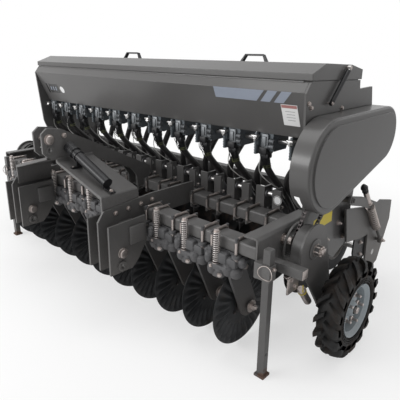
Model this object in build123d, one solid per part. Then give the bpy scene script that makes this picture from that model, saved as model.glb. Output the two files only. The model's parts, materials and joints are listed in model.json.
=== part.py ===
from build123d import *
from math import atan2, cos, degrees, hypot, pi, radians, sin, tan
import os

# Mounted no-till seed drill, eleven rows. Millimetres, +Z up, ground at Z = 0.
# X runs across the machine, -Y is the front (tractor) side, X = 0 is the middle of the frame.

# ---- rows ----
row_count = 11
row_pitch = 165.1
row_mid = (row_count - 1) / 2
rows = [(row_mid - n) * row_pitch for n in range(row_count)]

# ---- frame ----
bar_depth = 76.0
bar_height = 51.0
bar_wall = 6.0
bar_corner = 8.0
bar_top = 507.0
bar_z = bar_top - bar_height / 2
front_bar_y = -409.0
rear_bar_y = -122.0
beam_x = 994.0
beam_left = 956.0
beam_plate = 8.0
beam_flange = 60.0
beam_top = 540.0
beam_depth = 150.0
beam_front = -447.0
beam_rear = -60.0
beam_bend = 14.0
side_gap = 0.3

# ---- lower hitch ----
hitch_mid = 377.0
hitch_step = 71.0
hitch_plate = 10.0
hitch_front = -679.0
hitch_pin_y = -621.0
hitch_pin_z = 369.0
hitch_pin_r = 14.3
hitch_low_z = 315.0
hitch_hole_r = 11.2
pin_play = 0.3
pad_size = 76.0
pad_y = -546.0
pad_z = 434.0
pad_stand = 7.0
spine_top = 557.0
spine_rear = -127.0

# ---- top mast ----
mast_half = 35.0
mast_plate = 12.0
top_pin_y = -671.0
top_pin_z = 784.0
top_pin_r = 12.7
top_low_z = 737.0
top_hole_r = 9.7
leg_plate = 10.0
leg_front = -648.0
leg_rear = -462.0
leg_high_z = 676.0
leg_low_z = 585.0
leg_foot_z = 497.0
canister_r = 24.0
canister_y = -590.0
canister_x = (60.0, 338.0)
canister_z = (745.0, 633.0)

# ---- hopper ----
hopper_left = -894.0
hopper_right = 994.0
sheet = 3.0
end_plate = 10.0
rim_z = 1054.0
lip_y = -187.0
belly_y = -219.0
belly_z = 1015.0
floor_z = 842.0
floor_front = -143.0
floor_rear = 47.0
back_y = 202.0
back_z = 985.0
riser_z = 630.0
lid_over = 3.0
lid_lip = 20.0
lid_front_z = 1078.0
lid_crease = (-100.0, 1111.0)
lid_ridge = (103.0, 1103.0)
lid_back_z = 1083.0
lid_skirt_z = 1045.0
lid_gap = 0.5
hinge_r = 4.0
hinge_y = lip_y - 3
hinge_z = rim_z - 4
handle_x = (-396.0, 504.0)
handle_y = 150.0
handle_wide = 156.0
handle_top = 104.0
handle_rise = 42.0
strut_low = (-59.0, 970.0)
strut_high = (63.0, 1093.0)
strut_r = 9.0
rod_r = 4.0
strut_off = 14.0

# ---- meters ----
meter_shift = -28.0
meter_width = 62.0
meter_front = -140.0
meter_rear = -28.0
meter_height = 72.0
shaft_y = -96.0
shaft_z = 808.0
shaft_r = 10.0
cup_r = 17.0
cup_shift = 18.0
cup_y = -128.0
cup_root = 12.0
cup_lean = (0.0, 0.30, -0.954)
cup_long = 50.0
spout_r = 19.0
spout_neck_r = 17.0
spout_shift = 112.0
spout_y = 22.0
spout_collar = 16.0
spout_lean = (-0.583, 0.088, -0.808)
spout_long = 40.0
tube_r = 15.0
tube_end = (110.0, 312.0)
rear_tube_end = (222.0, 318.0)

# ---- coulters ----
coulter_shift = 25.0
coulter_r = 180.0
coulter_y = -330.0
coulter_z = 182.0
coulter_thick = 5.0
coulter_pivot = (-420.0, 405.0)
arm_x = 48.0
arm_thick = 12.0
arm_head_r = 33.0
arm_foot_r = 46.0
arm_knee = (-408.0, 360.0)
clamp_shift = 23.0
bolt_gap = 116.0
ubolt_r = 6.0
spring_shift = 1.0
spring_y = -470.0
spring_r = 15.0
spring_low = 404.0
spring_high = 528.0

# ---- row units ----
unit_shift = -41.0
face_plate = 10.0
face_top = 598.0
face_low = 440.0
face_left = 45.0
face_right = 40.0
face_gap = 42.0
unit_pin_y = -62.0
unit_pin_z = 567.0
unit_pin_r = 9.0
head_r = 19.0
cheek = 6.0
opener_y = 185.0
opener_z = 158.0
opener_r = 150.0
opener_thick = 4.0
opener_toe = 5.0

# ---- rear cross bar ----
cross_y = 90.0
cross_plate = 8.0
cross_low = 540.0
cross_high = 592.0
cross_depth = 40.0

# ---- press wheels ----
press_y = 524.0
press_r = 172.0
press_width = 46.0
press_axle_r = 15.0
rear_arm_x = 1028.0
rear_arm_plate = 10.0

# ---- ground wheels ----
wheel_y = -102.0
wheel_r = 204.0
wheel_in = 1143.0
wheel_out = 1240.0
rim_r = 109.0
hub_r = 40.0
axle_r = 16.0
swing_y = -227.0
swing_z = 462.0
drum_r = 84.0
drum_out = 1085.0
swing_plate = 10.0

# ---- chain drive cover ----
cover_in = 1010.0
cover_out = 1090.0
cover_front = (-127.0, 752.0, 178.0)
cover_rear = (333.0, 815.0, 118.0)
chain_x = 1032.0
chain_width = 12.0
chain_height = 13.0
high_sprocket = (-8.0, 722.0, 78.0)
drum_in = 1012.0
drum_core_r = 46.0

# ---- parking stands ----
stand_right = (1041.0, -445.0)
stand_left = (-892.0, -467.0)
leg_size = 28.0
sleeve_size = 38.0
sleeve_low = 403.0
sleeve_high = 463.0
leg_top = 520.0
foot_size = 42.0
foot_thick = 10.0
slide_gap = 0.5


def block(x, y, z):
    """Box between two limits on each axis."""
    size = [b - a for a, b in (x, y, z)]
    mid = [(a + b) / 2 for a, b in (x, y, z)]
    return Pos(*mid) * Box(*size)


def rod(x, y, z, r):
    """Round bar along X between the limits x."""
    return Pos((x[0] + x[1]) / 2, y, z) * Rot(0, 90, 0) * Cylinder(r, x[1] - x[0])


def upright(x, y, z, r):
    """Round bar along Z between the limits z."""
    return Pos(x, y, (z[0] + z[1]) / 2) * Cylinder(r, z[1] - z[0])


def plate(points, x):
    """Plate with a (y, z) outline, between two limits on X."""
    face = Plane.YZ * Polygon(*points, align=None)
    return Pos(x[0], 0, 0) * extrude(face, amount=x[1] - x[0], dir=(1, 0, 0))


def slab(points, y):
    """Plate with an (x, z) outline, between two limits on Y."""
    face = Plane.XZ * Polygon(*points, align=None)
    return Pos(0, y[1], 0) * extrude(face, amount=y[1] - y[0], dir=(0, -1, 0))


def strut(a, b, r):
    """Round bar between two points."""
    a, b = Vector(*a), Vector(*b)
    way = b - a
    return Plane(origin=a, z_dir=way.normalized()) * extrude(Circle(r), amount=way.length)


def hull_plate(a, b, x):
    """Plate round two circles (y, z, r), with straight tangents, between two limits on X."""
    apart = hypot(b[0] - a[0], b[1] - a[1])
    way = atan2(b[1] - a[1], b[0] - a[0])
    lean = pi / 2 - (a[2] - b[2]) / apart
    points = [(c[0] + c[2] * cos(way + s * lean), c[1] + c[2] * sin(way + s * lean))
              for s, c in ((1, a), (1, b), (-1, b), (-1, a))]
    return plate(points, x) + rod(x, a[0], a[1], a[2]) + rod(x, b[0], b[1], b[2])


def toolbar(y):
    """Hollow rectangular tube along X, centred on y."""
    long = beam_x + beam_left - 2 * (beam_plate + side_gap)
    outer = Box(long, bar_depth, bar_height)
    outer = fillet(outer.edges().filter_by(Axis.X), bar_corner)
    inner = Box(long, bar_depth - 2 * bar_wall, bar_height - 2 * bar_wall)
    return Pos((beam_x - beam_left) / 2, y, bar_z) * (outer - inner)


def bar_slot(y, x, play=side_gap):
    """Cut for a toolbar through a plate between two limits on X."""
    half_y, half_z = bar_depth / 2 + play, bar_height / 2 + play
    return block(x, (y - half_y, y + half_y), (bar_z - half_z, bar_z + half_z))


def mirrored(shape):
    return mirror(shape, about=Plane.YZ)


def write(name, shape):
    export_step(shape if isinstance(shape, (Compound, Solid, Part)) else Part(shape), f"parts/{name}.step")


def group(solids):
    return Compound(children=[s for s in solids])


def side_beam(x):
    """Bent plate: a web with a flange turned inwards over the ends of the toolbars."""
    web = block((x - beam_plate, x), (beam_front, beam_rear), (beam_top - beam_depth, beam_top))
    flange = block((x - beam_flange, x), (beam_front, rear_bar_y + bar_depth / 2), (beam_top - beam_plate, beam_top))
    beam = web + flange
    corner = beam.edges().filter_by(Axis.Y).sort_by(Axis.Z)[-2:].sort_by(Axis.X)[-1]
    return fillet(corner, beam_bend)


def hitch_bracket():
    """Three upright plates that make two slots for the tractor's lower links, on a square cross tube."""
    above = bar_top + side_gap
    ear = [(hitch_front, 495), (hitch_front - 3, 284), (-571, 284), (-540, 312), (-489, 385), (-492, 500)]
    spine = [(hitch_front, 495), (hitch_front - 3, 284), (-571, 284), (-540, 312), (-489, 385), (-489, 458),
             (-340, 458), (-330, 453), (-161, 453), (-161, above), (spine_rear, above), (spine_rear, 555),
             (-398, spine_top), (-648, 536)]
    half = hitch_plate / 2
    solid = None
    for k in (-1, 0, 1):
        x = hitch_mid + k * hitch_step
        piece = plate(spine if k == 0 else ear, (x - half, x + half))
        solid = piece if solid is None else solid + piece
    pad_half = pad_size / 2
    x = (hitch_mid - hitch_step - half - pad_stand, hitch_mid + hitch_step + half + pad_stand)
    pad = block(x, (pad_y - pad_half, pad_y + pad_half), (pad_z - pad_half, pad_z + pad_half))
    solid = solid + fillet(pad.edges().filter_by(Axis.X), 8)
    solid -= bar_slot(front_bar_y, (hitch_mid - half - 1, hitch_mid + half + 1))
    solid -= rod((x[0] - 1, x[1] + 1), hitch_pin_y, hitch_pin_z, hitch_pin_r + pin_play)
    solid -= rod((x[0] - 1, x[1] + 1), hitch_pin_y - 6, hitch_low_z, hitch_hole_r)
    return solid


def lower_pin():
    """Pin through the three plates of a lower hitch bracket, with a domed head."""
    end = hitch_mid + hitch_step + hitch_plate / 2
    start = hitch_mid - hitch_step - hitch_plate / 2 - 18
    return rod((start, end + side_gap), hitch_pin_y, hitch_pin_z, hitch_pin_r) + rod(
        (end + side_gap, end + 12), hitch_pin_y, hitch_pin_z, hitch_pin_r + 7)


def mast():
    """Two side plates with the top-link clevis, braced back to the rear toolbar, and two wide bent legs."""
    rear_face = rear_bar_y - bar_depth / 2 - side_gap
    side = [(-703, 810), (-676, 832), (-606, 822), (-478, 760), (-172, 601), (-112, 571), (-112, bar_top + side_gap),
            (rear_face, bar_top + side_gap), (rear_face, 470), (-196, 470), (-200, 530), (-228, 570), (-310, 612),
            (-447, 668), (-560, 672), (-630, 682), (-682, 704), (-703, 726)]
    solid = None
    for s in (-1, 1):
        x = sorted((s * mast_half - mast_plate / 2, s * mast_half + mast_plate / 2))
        solid = plate(side, x) if solid is None else solid + plate(side, x)
    inner = mast_half + mast_plate / 2
    outer = hitch_mid - hitch_plate / 2 - side_gap
    leg = [(inner - 1, leg_high_z), (inner - 1, leg_high_z + 22), (inner + leg_plate, leg_high_z + 22),
           (inner + leg_plate + 2, leg_high_z + leg_plate), (outer - 4, leg_low_z + leg_plate),
           (outer, leg_low_z + leg_plate - 5), (outer, leg_foot_z), (outer - leg_plate, leg_foot_z),
           (outer - leg_plate, leg_low_z - 2), (inner + 4, leg_high_z)]
    leg = slab(leg, (leg_front, leg_rear))
    tie = block((-inner, inner), (-240, -190), (584, 596))
    solid = solid + leg + mirrored(leg) + tie
    solid -= rod((-200, 200), top_pin_y, top_pin_z, top_pin_r + pin_play)
    solid -= rod((-200, 200), top_pin_y, top_low_z, top_hole_r)
    return solid


def top_pin():
    end = mast_half + mast_plate / 2
    return rod((-end - 20, end + side_gap), top_pin_y, top_pin_z, top_pin_r) + rod(
        (end + side_gap, end + 12), top_pin_y, top_pin_z, top_pin_r + 6)


def canister():
    """Closed document tube with a screwed cap, lying along the right mast leg."""
    inner = mast_half + mast_plate / 2
    outer = hitch_mid - hitch_plate / 2 - side_gap
    fall = (leg_low_z - leg_high_z) / (outer - 4 - inner - leg_plate - 2)
    a, b = canister_x
    high, low = canister_z

    def at(x):
        return (x, canister_y, high + (x - a) * (low - high) / (b - a))

    def seat(x):
        """Height of the leg's upper face under x."""
        return leg_high_z + leg_plate + (x - inner - leg_plate - 2) * fall

    cap = a + 55
    body = strut(at(cap), at(b), canister_r - 2) + strut(at(a), at(cap), canister_r + 1)
    body += strut(at(cap + 14), at(cap + 24), canister_r + 1)
    for x, wide in ((cap + 19, 30), (b - 12, 24)):
        body += block((x - 5, x + 5), (canister_y - wide / 2, canister_y + wide / 2),
                      (seat(x - 5) + side_gap, at(x)[2] - canister_r + 6))
    return body


hopper_outline = [(lip_y, rim_z), (belly_y, belly_z), (floor_front, floor_z), (floor_rear, floor_z),
                  (back_y, back_z), (back_y, rim_z - 4)]


def inset(points, t):
    """Outline moved inwards by t, for a clockwise or anticlockwise list of corners."""
    area = sum(a[0] * b[1] - b[0] * a[1] for a, b in zip(points, points[1:] + points[:1]))
    sign = 1 if area > 0 else -1
    lines = []
    for a, b in zip(points, points[1:] + points[:1]):
        d = hypot(b[0] - a[0], b[1] - a[1])
        nx, ny = -(b[1] - a[1]) / d * sign, (b[0] - a[0]) / d * sign
        lines.append(((a[0] + nx * t, a[1] + ny * t), (b[0] - a[0], b[1] - a[1])))
    out = []
    for (p, u), (q, v) in zip(lines[-1:] + lines[:-1], lines):
        cross = u[0] * v[1] - u[1] * v[0]
        k = ((q[0] - p[0]) * v[1] - (q[1] - p[1]) * v[0]) / cross
        out.append((p[0] + k * u[0], p[1] + k * u[1]))
    return out


def hopper():
    """Seed box of bent sheet, open at the top, with a feed slot over each meter."""
    x = (hopper_left + side_gap, hopper_right - side_gap)
    body = plate(hopper_outline, x)
    core = inset(hopper_outline, sheet)
    core = [(core[0][0], rim_z + 40)] + core[1:5] + [(core[5][0], rim_z + 40)]
    core.insert(1, inset(hopper_outline, sheet)[0])
    body -= plate(core, (x[0] + sheet, x[1] - sheet))
    for row in rows:
        mid = row + meter_shift
        body -= block((mid - 28, mid + 28), (shaft_y - 20, shaft_y + 26), (floor_z - 1, floor_z + sheet + 1))
        body -= upright(row + spout_shift, spout_y, (floor_z - 1, floor_z + sheet + 1), spout_r - 7)
    return body + rod((hopper_left + 20, hopper_right - 20), hinge_y, hinge_z, hinge_r)


end_outline = [(lip_y, rim_z), (belly_y, belly_z), (-214, 958), (-196, 716), (-165, 667), (-165, 400),
               (-30, 336), (53, 322), (134, 268), (278, 318), (262, 480), (290, 700), (350, 905),
               (352, 933), (330, 1010), (208, 1007), (back_y, rim_z - 12)]


def end_plate_right():
    x = (hopper_right, hopper_right + end_plate)
    return plate(end_outline, x) - rod((x[0] - 1, x[1] + 1), shaft_y, shaft_z, shaft_r + 0.3)


def end_plate_left():
    """Left end in three bends: the hopper's end, a step outwards, and the frame's side plate below it."""
    inner = (hopper_left - end_plate, hopper_left)
    outer = (-beam_left - end_plate, -beam_left)
    high = end_outline[:4] + [(-165, riser_z), (252, riser_z)] + end_outline[11:]
    low = [(252, riser_z), (-165, riser_z)] + end_outline[5:11]
    step = block((outer[0], inner[1]), (-165, 252), (riser_z, riser_z + end_plate))
    return plate(high, inner) + step + plate(low, outer)


def lid():
    """Folded sheet lid, hinged along its front edge, with a rear skirt and closed ends."""
    x = (hopper_left - end_plate - lid_over, hopper_right + end_plate + lid_over)
    front = lip_y - 6
    outer = [(front, rim_z + 1), (front, lid_front_z), lid_crease, lid_ridge, (back_y + 3, lid_back_z),
             (back_y + 3, lid_skirt_z)]
    shell = plate(outer, x)
    core = inset(outer, sheet)
    core = [(core[0][0], rim_z - 20)] + core[1:4] + [(back_y + lid_gap, core[4][1]), (back_y + lid_gap, rim_z - 20)]
    shell -= plate(core, (x[0] + sheet - lid_gap, x[1] - sheet + lid_gap))
    return shell


def lid_handle(x):
    """Flat bar bent up into a grip, on the rear slope of the lid."""
    slope = atan2(lid_ridge[1] - lid_back_z, back_y + 3 - lid_ridge[0])
    z = lid_ridge[1] - (handle_y - lid_ridge[0]) * tan(slope) + side_gap / cos(slope)
    foot, grip, t, half = handle_wide / 2, handle_top / 2, 6.0, 9.0
    outline = [(-foot - 14, 0), (-foot + 10, 0), (-grip + 4, handle_rise - t), (grip - 4, handle_rise - t),
               (foot - 10, 0), (foot + 14, 0), (foot + 14, t), (foot, t), (grip, handle_rise),
               (-grip, handle_rise), (-foot, t), (-foot - 14, t)]
    return Pos(x, handle_y, z) * Rot(-degrees(slope), 0, 0) * slab(outline, (-half, half))


def strut_pair(side):
    """Gas strut at one end: the barrel on the hopper's stud, the rod's eye at the lid's stud."""
    x = hopper_right + end_plate + strut_off if side > 0 else hopper_left - end_plate - strut_off
    low, high = (x, *strut_low), (x, *strut_high)
    way = Vector(*high) - Vector(*low)
    unit = way.normalized()
    long = way.length

    def on(t):
        p = Vector(*low) + unit * t
        return (p.X, p.Y, p.Z)

    eye = 9.0
    barrel = strut(on(6), on(long - 16), strut_r) - strut(on(11), on(long), rod_r + 0.3)
    barrel += rod((x - 5, x + 5), low[1], low[2], eye)
    barrel -= rod((x - 20, x + 20), low[1], low[2], 4 + 0.05)
    shaft = strut(on(13), on(long - 6), rod_r) + rod((x - 5, x + 5), high[1], high[2], eye)
    return barrel, shaft


def studs(side):
    """Studs: the lower through the barrel's eye, the upper a boss on the lid that meets the rod's socket."""
    s = 1 if side > 0 else -1
    wall = hopper_right + end_plate if side > 0 else hopper_left - end_plate
    low = rod(sorted((wall, wall + s * (strut_off + 9))), strut_low[0], strut_low[1], 4)
    skirt = wall + s * lid_over
    high = rod(sorted((skirt, skirt + s * (strut_off - lid_over - 5 - side_gap))), *strut_high, 7)
    return low, high


def cup_ends(row):
    """Where a meter's outlet cup starts inside the housing, where it ends, and its way."""
    lean = Vector(*cup_lean).normalized()
    root = Vector(row + meter_shift - cup_shift, cup_y, floor_z - side_gap - meter_height + cup_root)
    return root, root + lean * cup_long, lean


def spout_ends(row):
    """The same for the spout under the hopper's rear edge."""
    lean = Vector(*spout_lean).normalized()
    root = Vector(row + spout_shift, spout_y, floor_z - side_gap - spout_collar + 2)
    return root, root + lean * spout_long, lean


def meter(row):
    """Seed meter: a housing under the hopper floor, with a leaning outlet cup."""
    x = row + meter_shift
    half = meter_width / 2
    top = floor_z - side_gap
    outline = [(meter_front, top), (meter_front, top - 24), (meter_front + 8, top - meter_height),
               (meter_rear - 14, top - meter_height), (meter_rear, top - 40), (meter_rear, top)]
    body = plate(outline, (x - half, x + half))
    root, foot, lean = cup_ends(row)
    body += strut(tuple(root), tuple(foot), cup_r)
    bore = rod((x - half - 1, x + half + 1), shaft_y, shaft_z, shaft_r + 0.3)
    return body - bore


def spout(row):
    """Second outlet of each row, under the rear edge of the hopper floor."""
    top = floor_z - side_gap
    root, foot, lean = spout_ends(row)
    collar = upright(row + spout_shift, spout_y, (top - spout_collar, top), spout_r)
    return collar + strut(tuple(root), tuple(foot), spout_neck_r)


def bend_radii(points):
    """Largest easy arc at each corner of a route: 0.45 of the shorter run, over the tangent of half the turn."""
    runs = [b - a for a, b in zip(points, points[1:])]
    turns = [radians(u.get_angle(v)) for u, v in zip(runs, runs[1:])]
    return [0.45 * min(u.length, v.length) / tan(t / 2) for u, v, t in zip(runs, runs[1:], turns)]


def hose(points, word):
    """Round hose along a route of corners, each eased by its own arc."""
    points = [Vector(*tuple(p)) for p in points]
    radii = bend_radii(points)
    if word:
        print(word, "bend radii", [round(r) for r in radii])
    path = FilletPolyline(*points, radius=radii)
    return sweep(Plane(origin=path @ 0, z_dir=path % 0) * Circle(tube_r), path=path)


def seed_tube(row):
    """Hose from the meter's cup back over the drag arm's head and down to the opener's boot."""
    root, foot, lean = cup_ends(row)
    start = foot + lean * side_gap
    x = row + meter_shift - cup_shift
    points = [start, start + lean * 45, (x - 2, -62, 650), (x - 1, -5, 600), (row - 38, 28, 550),
              (row - 10, 45, 500), (row + 2, 80, 430), (row, tube_end[0], tube_end[1] + 60), (row, *tube_end)]
    return hose(points, "seed tube" if row == rows[0] else "")


def rear_tube(row):
    """Hose from the spout down to the left, in front of the cross bar and under it, to the back of the shank."""
    root, foot, lean = spout_ends(row)
    start = foot + lean * side_gap
    end_y, end_z = rear_tube_end
    points = [start, start + lean * 120, (row - 38, 50, 610), (row - 40, 62, 535),
              (row - 14, end_y - 62, end_z + 112), (row, end_y, end_z)]
    return hose(points, "rear tube" if row == rows[0] else "")


def coulter_clamp(row):
    """Casting under the front toolbar held by two U-bolts, with the pivot lugs and the spring's seat."""
    x = row + clamp_shift
    half = bolt_gap / 2
    low = bar_top - bar_height
    y0, y1 = front_bar_y - bar_depth / 2, front_bar_y + bar_depth / 2
    z = (low - 14.3, low - 0.3)
    body = block((x - half - 12, x + half + 12), (y0 - 2, y1 + 20), z)
    lugs = block((row + arm_x - 24, row + arm_x + arm_thick + 24), (-446, -394), (372, low - 10))
    body += lugs - block((row + arm_x - 7, row + arm_x + arm_thick + 7), (-470, -380), (340, low))
    body += rod((row + arm_x - 24, row + arm_x + arm_thick + 40), *coulter_pivot, 11)
    body += rod((row + arm_x + arm_thick + 24, row + arm_x + arm_thick + 36), *coulter_pivot, 17)
    for s in (-1, 1):
        bx = x + s * half
        yb = bar_depth / 2 + ubolt_r + 0.3
        for k in (-1, 1):
            body += upright(bx, front_bar_y + k * yb, (low - 34, bar_top + 2 * ubolt_r), ubolt_r)
            body += upright(bx, front_bar_y + k * yb, (low - 26, low - 13), 10)
            body += block((bx - 8, bx + 8), sorted((front_bar_y + k * (yb + 12), front_bar_y + k * yb)), z)
        over = bar_top + ubolt_r + side_gap
        body += strut((bx, front_bar_y - yb - 2, over), (bx, front_bar_y + yb + 2, over), 0.95 * ubolt_r)
    return body


def coulter_arm(row):
    """Flat arm from the pivot back and down to the disc's hub, with a toe that takes the spring."""
    py, pz = coulter_pivot
    x = (row + arm_x, row + arm_x + arm_thick)
    arm = hull_plate((*arm_knee, arm_foot_r), (coulter_y, coulter_z, arm_foot_r), x)
    arm += hull_plate((py, pz, arm_head_r), (*arm_knee, arm_head_r), x)
    hub_end = row + coulter_shift + coulter_thick / 2 + 9
    arm += rod((hub_end, x[1] + 12), coulter_y, coulter_z, 14)
    arm += rod((row + coulter_shift - 18, hub_end + 1), coulter_y, coulter_z, 9.95)
    toe = block((row + spring_shift - 20, row + arm_x + 1), (py - 64, py - 34), (spring_low - 14, spring_low - 0.3))
    web = plate([(py - 64, spring_low - 14), (py - 64, spring_low - 0.3), (py + 2, pz + 16), (py - 8, pz - 24)], x)
    return arm + toe + web - rod((x[0] - 1, x[1] + 1), py, pz, 11 + pin_play)


def coulter_spring(row):
    """Outer shape of the coil spring on its rod, in front of the toolbar."""
    x = row + spring_shift
    return upright(x, spring_y, (spring_low, spring_high), spring_r) + upright(
        x, spring_y, (spring_high - 1, spring_high + 12), 7)


def coulter_disc(row):
    """Rolling disc with a hub, bored for the arm's spindle."""
    x = row + coulter_shift
    half = coulter_thick / 2
    disc = rod((x - half, x + half), coulter_y, coulter_z, coulter_r)
    disc += rod((x - half - 12, x + half + 8), coulter_y, coulter_z, 32)
    return disc - rod((x - 40, x + 40), coulter_y, coulter_z, 10)


def row_clamp(row):
    """Face plates behind the rear toolbar held by two U-bolts, with the arm's pin between them."""
    x = row + unit_shift
    back = rear_bar_y + bar_depth / 2 + side_gap
    left = x - face_gap / 2
    right = x + face_gap / 2
    body = block((left - face_left, left), (back, back + face_plate), (face_low, face_top))
    body += block((left - face_plate, left), (back, back + 62), (face_low + 60, face_top))
    body += block((right, right + face_right), (back, back + face_plate), (face_low, face_top - 4))
    body += block((right, right + face_plate), (back, back + 62), (face_low + 60, face_top - 4))
    body += rod((left - 1, right + 1), unit_pin_y, unit_pin_z, unit_pin_r)
    body += block((left - face_left, right + face_right), (back, back + face_plate), (face_low, face_low + 18))
    for bx in (left - face_left / 2 - 6, right + face_right / 2 + 8):
        front = rear_bar_y - bar_depth / 2 - ubolt_r - 0.3
        high, low = bar_top + ubolt_r + 0.3, bar_top - bar_height - ubolt_r - 0.3
        body += upright(bx, front, (low - ubolt_r, high + ubolt_r), ubolt_r)
        for z in (low, high):
            body += strut((bx, front, z), (bx, back + face_plate + 22, z), ubolt_r)
            body += strut((bx, back + face_plate - 1, z), (bx, back + face_plate + 12, z), 11)
    return body


def row_arm(row):
    """Drag arm from the pin to the opener's shank, which goes down between the discs with the seed boot."""
    x = row + unit_shift
    wide = face_gap / 2 - 1
    y, z = unit_pin_y, unit_pin_z
    top = opener_z + opener_r
    side = (x - wide + cheek - 1, x + wide - cheek + 1)
    head = rod((x - wide, x - wide + cheek), y, z, head_r) + rod((x + wide - cheek, x + wide), y, z, head_r)
    head -= rod((x - wide - 1, x + wide + 1), y, z, unit_pin_r + pin_play)
    arm = plate([(y + 5, z + 17), (y + 18, z - 13), (opener_y - 60, top + 8), (opener_y + 10, top + 8),
                 (opener_y + 10, top + 34)], side)
    bridge = block((side[0], row + 8), (opener_y - 30, opener_y + 10), (top + 8, top + 28))
    shank = plate([(opener_y - 30, top + 12), (opener_y + 10, top + 12), (opener_y + 16, opener_z - 60),
                   (opener_y - 20, opener_z - 60)], (row - 5, row + 5))
    shank += rod((row - 36, row + 36), opener_y, opener_z, 10)
    boot_y, boot_z = tube_end
    boot = plate([(boot_y - 12, boot_z - 4), (boot_y + 12, boot_z - 4), (opener_y - 25, 230), (opener_y - 20, 120),
                  (boot_y + 10, 110), (boot_y - 6, 240)], (row - 5, row + 5))
    mouth = block((row - 18, row + 18), (boot_y - 16, boot_y + 18), (boot_z - 6, boot_z - 0.3))
    rear_y, rear_z = rear_tube_end
    rear = block((row - 5, row + 5), (opener_y, rear_y + 16), (top - 40, rear_z - 8))
    rear += block((row - 18, row + 18), (rear_y - 16, rear_y + 18), (rear_z - 14, rear_z - 8))
    return head + arm + bridge + shank + boot + mouth + rear


def opener_pair(row):
    """Two flat discs, toed in so that they nearly meet at the front."""
    pair = []
    for s in (-1, 1):
        disc = Rot(0, 90, 0) * Cylinder(opener_r, opener_thick) + Rot(0, 90, 0) * Cylinder(26, 18)
        disc -= Rot(0, 90, 0) * Cylinder(11.5, 60)
        pair.append(Pos(row + s * 19, opener_y, opener_z) * Rot(0, 0, -s * opener_toe) * disc)
    return pair


def press_wheel(x):
    """Rounded rubber press wheel on the gang's axle."""
    half = press_width / 2
    wheel = rod((x - half, x + half), press_y, press_r, press_r)
    wheel = fillet(wheel.edges().filter_by(GeomType.CIRCLE), 12)
    return wheel - rod((x - half - 1, x + half + 1), press_y, press_r, press_axle_r + 0.02)


arm_outline = [(143, 505), (478, 437), (547, 451), (694, 414), (703, 309), (656, 209), (604, 96), (560, 84),
               (470, 120), (440, 160), (426, 300), (343, 305), (188, 335)]


def rear_arm():
    """Side arm of the press-wheel gang, stood off the end plate on bosses."""
    x = (rear_arm_x, rear_arm_x + rear_arm_plate)
    arm = plate(arm_outline, x)
    arm -= rod((x[0] - 1, x[1] + 1), press_y, press_r, press_axle_r + 0.05)
    wall = hopper_right + end_plate
    for y, z in ((215, 452), (232, 352)):
        arm += rod((wall + side_gap, x[0] + 1), y, z, 16)
    return arm


def depth_adjuster():
    """Link plate on a pin, with the screw, its handle and the coil spring over the rear arm."""
    face = rear_arm_x + rear_arm_plate
    wall = hopper_right + end_plate
    mid = face + 22
    pin = rod((wall + side_gap, mid + 8), 129, 556, 14)
    link = plate([(110, 572), (118, 540), (500, 452), (506, 470), (300, 540)], (mid - 5, mid + 5))
    screw = strut((mid, 306, 546), (mid, 560, 262), 7)
    handle = strut((mid, 288, 566), (mid, 316, 535), 13)
    spring = strut((mid, 400, 441), (mid, 500, 329), 19)
    nut = strut((mid, 540, 284), (mid, 556, 266), 12)
    foot = rod((face + side_gap, mid + 10), 556, 267, 8)
    return pin + link + screw + handle + spring + nut + foot


def tyre():
    ring = rod((wheel_in, wheel_out), wheel_y, wheel_r, wheel_r)
    ring = fillet(ring.edges().filter_by(GeomType.CIRCLE), 22)
    return ring - rod((wheel_in - 1, wheel_out + 1), wheel_y, wheel_r, rim_r - 10)


def rim():
    """Dished steel rim with a hub on the stub axle."""
    x0, x1 = wheel_in + 4, wheel_out - 4
    r = rim_r - 10.3
    ring = rod((x0, x1), wheel_y, wheel_r, r) - rod((x0 - 1, x1 + 1), wheel_y, wheel_r, r - 5)
    disc = rod((x1 - 54, x1 - 48), wheel_y, wheel_r, r - 4)
    hub = rod((x0 - 4, x1 - 20), wheel_y, wheel_r, hub_r)
    return ring + disc + hub - rod((x0 - 50, x1 - 34), wheel_y, wheel_r, axle_r + 0.05)


def wheel_arm(beam):
    """Hub drum on the frame and the arm plate that hangs from it to the wheel's stub axle."""
    x = (drum_out, drum_out + swing_plate)
    drum = rod((drum_in, drum_out + 1), swing_y, swing_z, drum_r)
    drum -= rod((drum_in - 1, drum_out - 4), swing_y, swing_z, drum_r - sheet)
    drum -= block((chain_x - 12, chain_x + 12), (swing_y - drum_r - 1, swing_y + drum_r + 1),
                  (swing_z - 20, swing_z + drum_r + 1))
    core = rod((beam + side_gap, drum_out - 1), swing_y, swing_z, drum_core_r)
    arm = hull_plate((swing_y, swing_z, drum_r + 12), (wheel_y, wheel_r, 48), x)
    nut = rod((drum_out, drum_out + 36), swing_y, swing_z, 20)
    axle = rod((x[0], wheel_out - 40), wheel_y, wheel_r, axle_r)
    return drum + core + arm + nut + axle


def chain_cover():
    """Deep tray round two circles, open on the inner side, with a raised face."""
    body = hull_plate(cover_front, cover_rear, (cover_in, cover_out))
    body = fillet(body.edges().filter_by(lambda e: e.center().X > cover_out - 0.5), 10)
    thin = [(c[0], c[1], c[2] - sheet) for c in (cover_front, cover_rear)]
    body -= hull_plate(*thin, (cover_in - 1, cover_out - sheet))
    raised = [(c[0], c[1], c[2] - 26) for c in (cover_front, cover_rear)]
    body += hull_plate(*raised, (cover_out - 1, cover_out + 6))
    body -= block((chain_x - 12, chain_x + 12), (swing_y - 70, 36), (swing_z, 664))
    stay = rod((hopper_right + end_plate + side_gap, cover_out - 1), 300, 840, 9)
    stay += rod((hopper_right + end_plate + side_gap, cover_out - 1), -160, 850, 9)
    return body + stay


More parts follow.
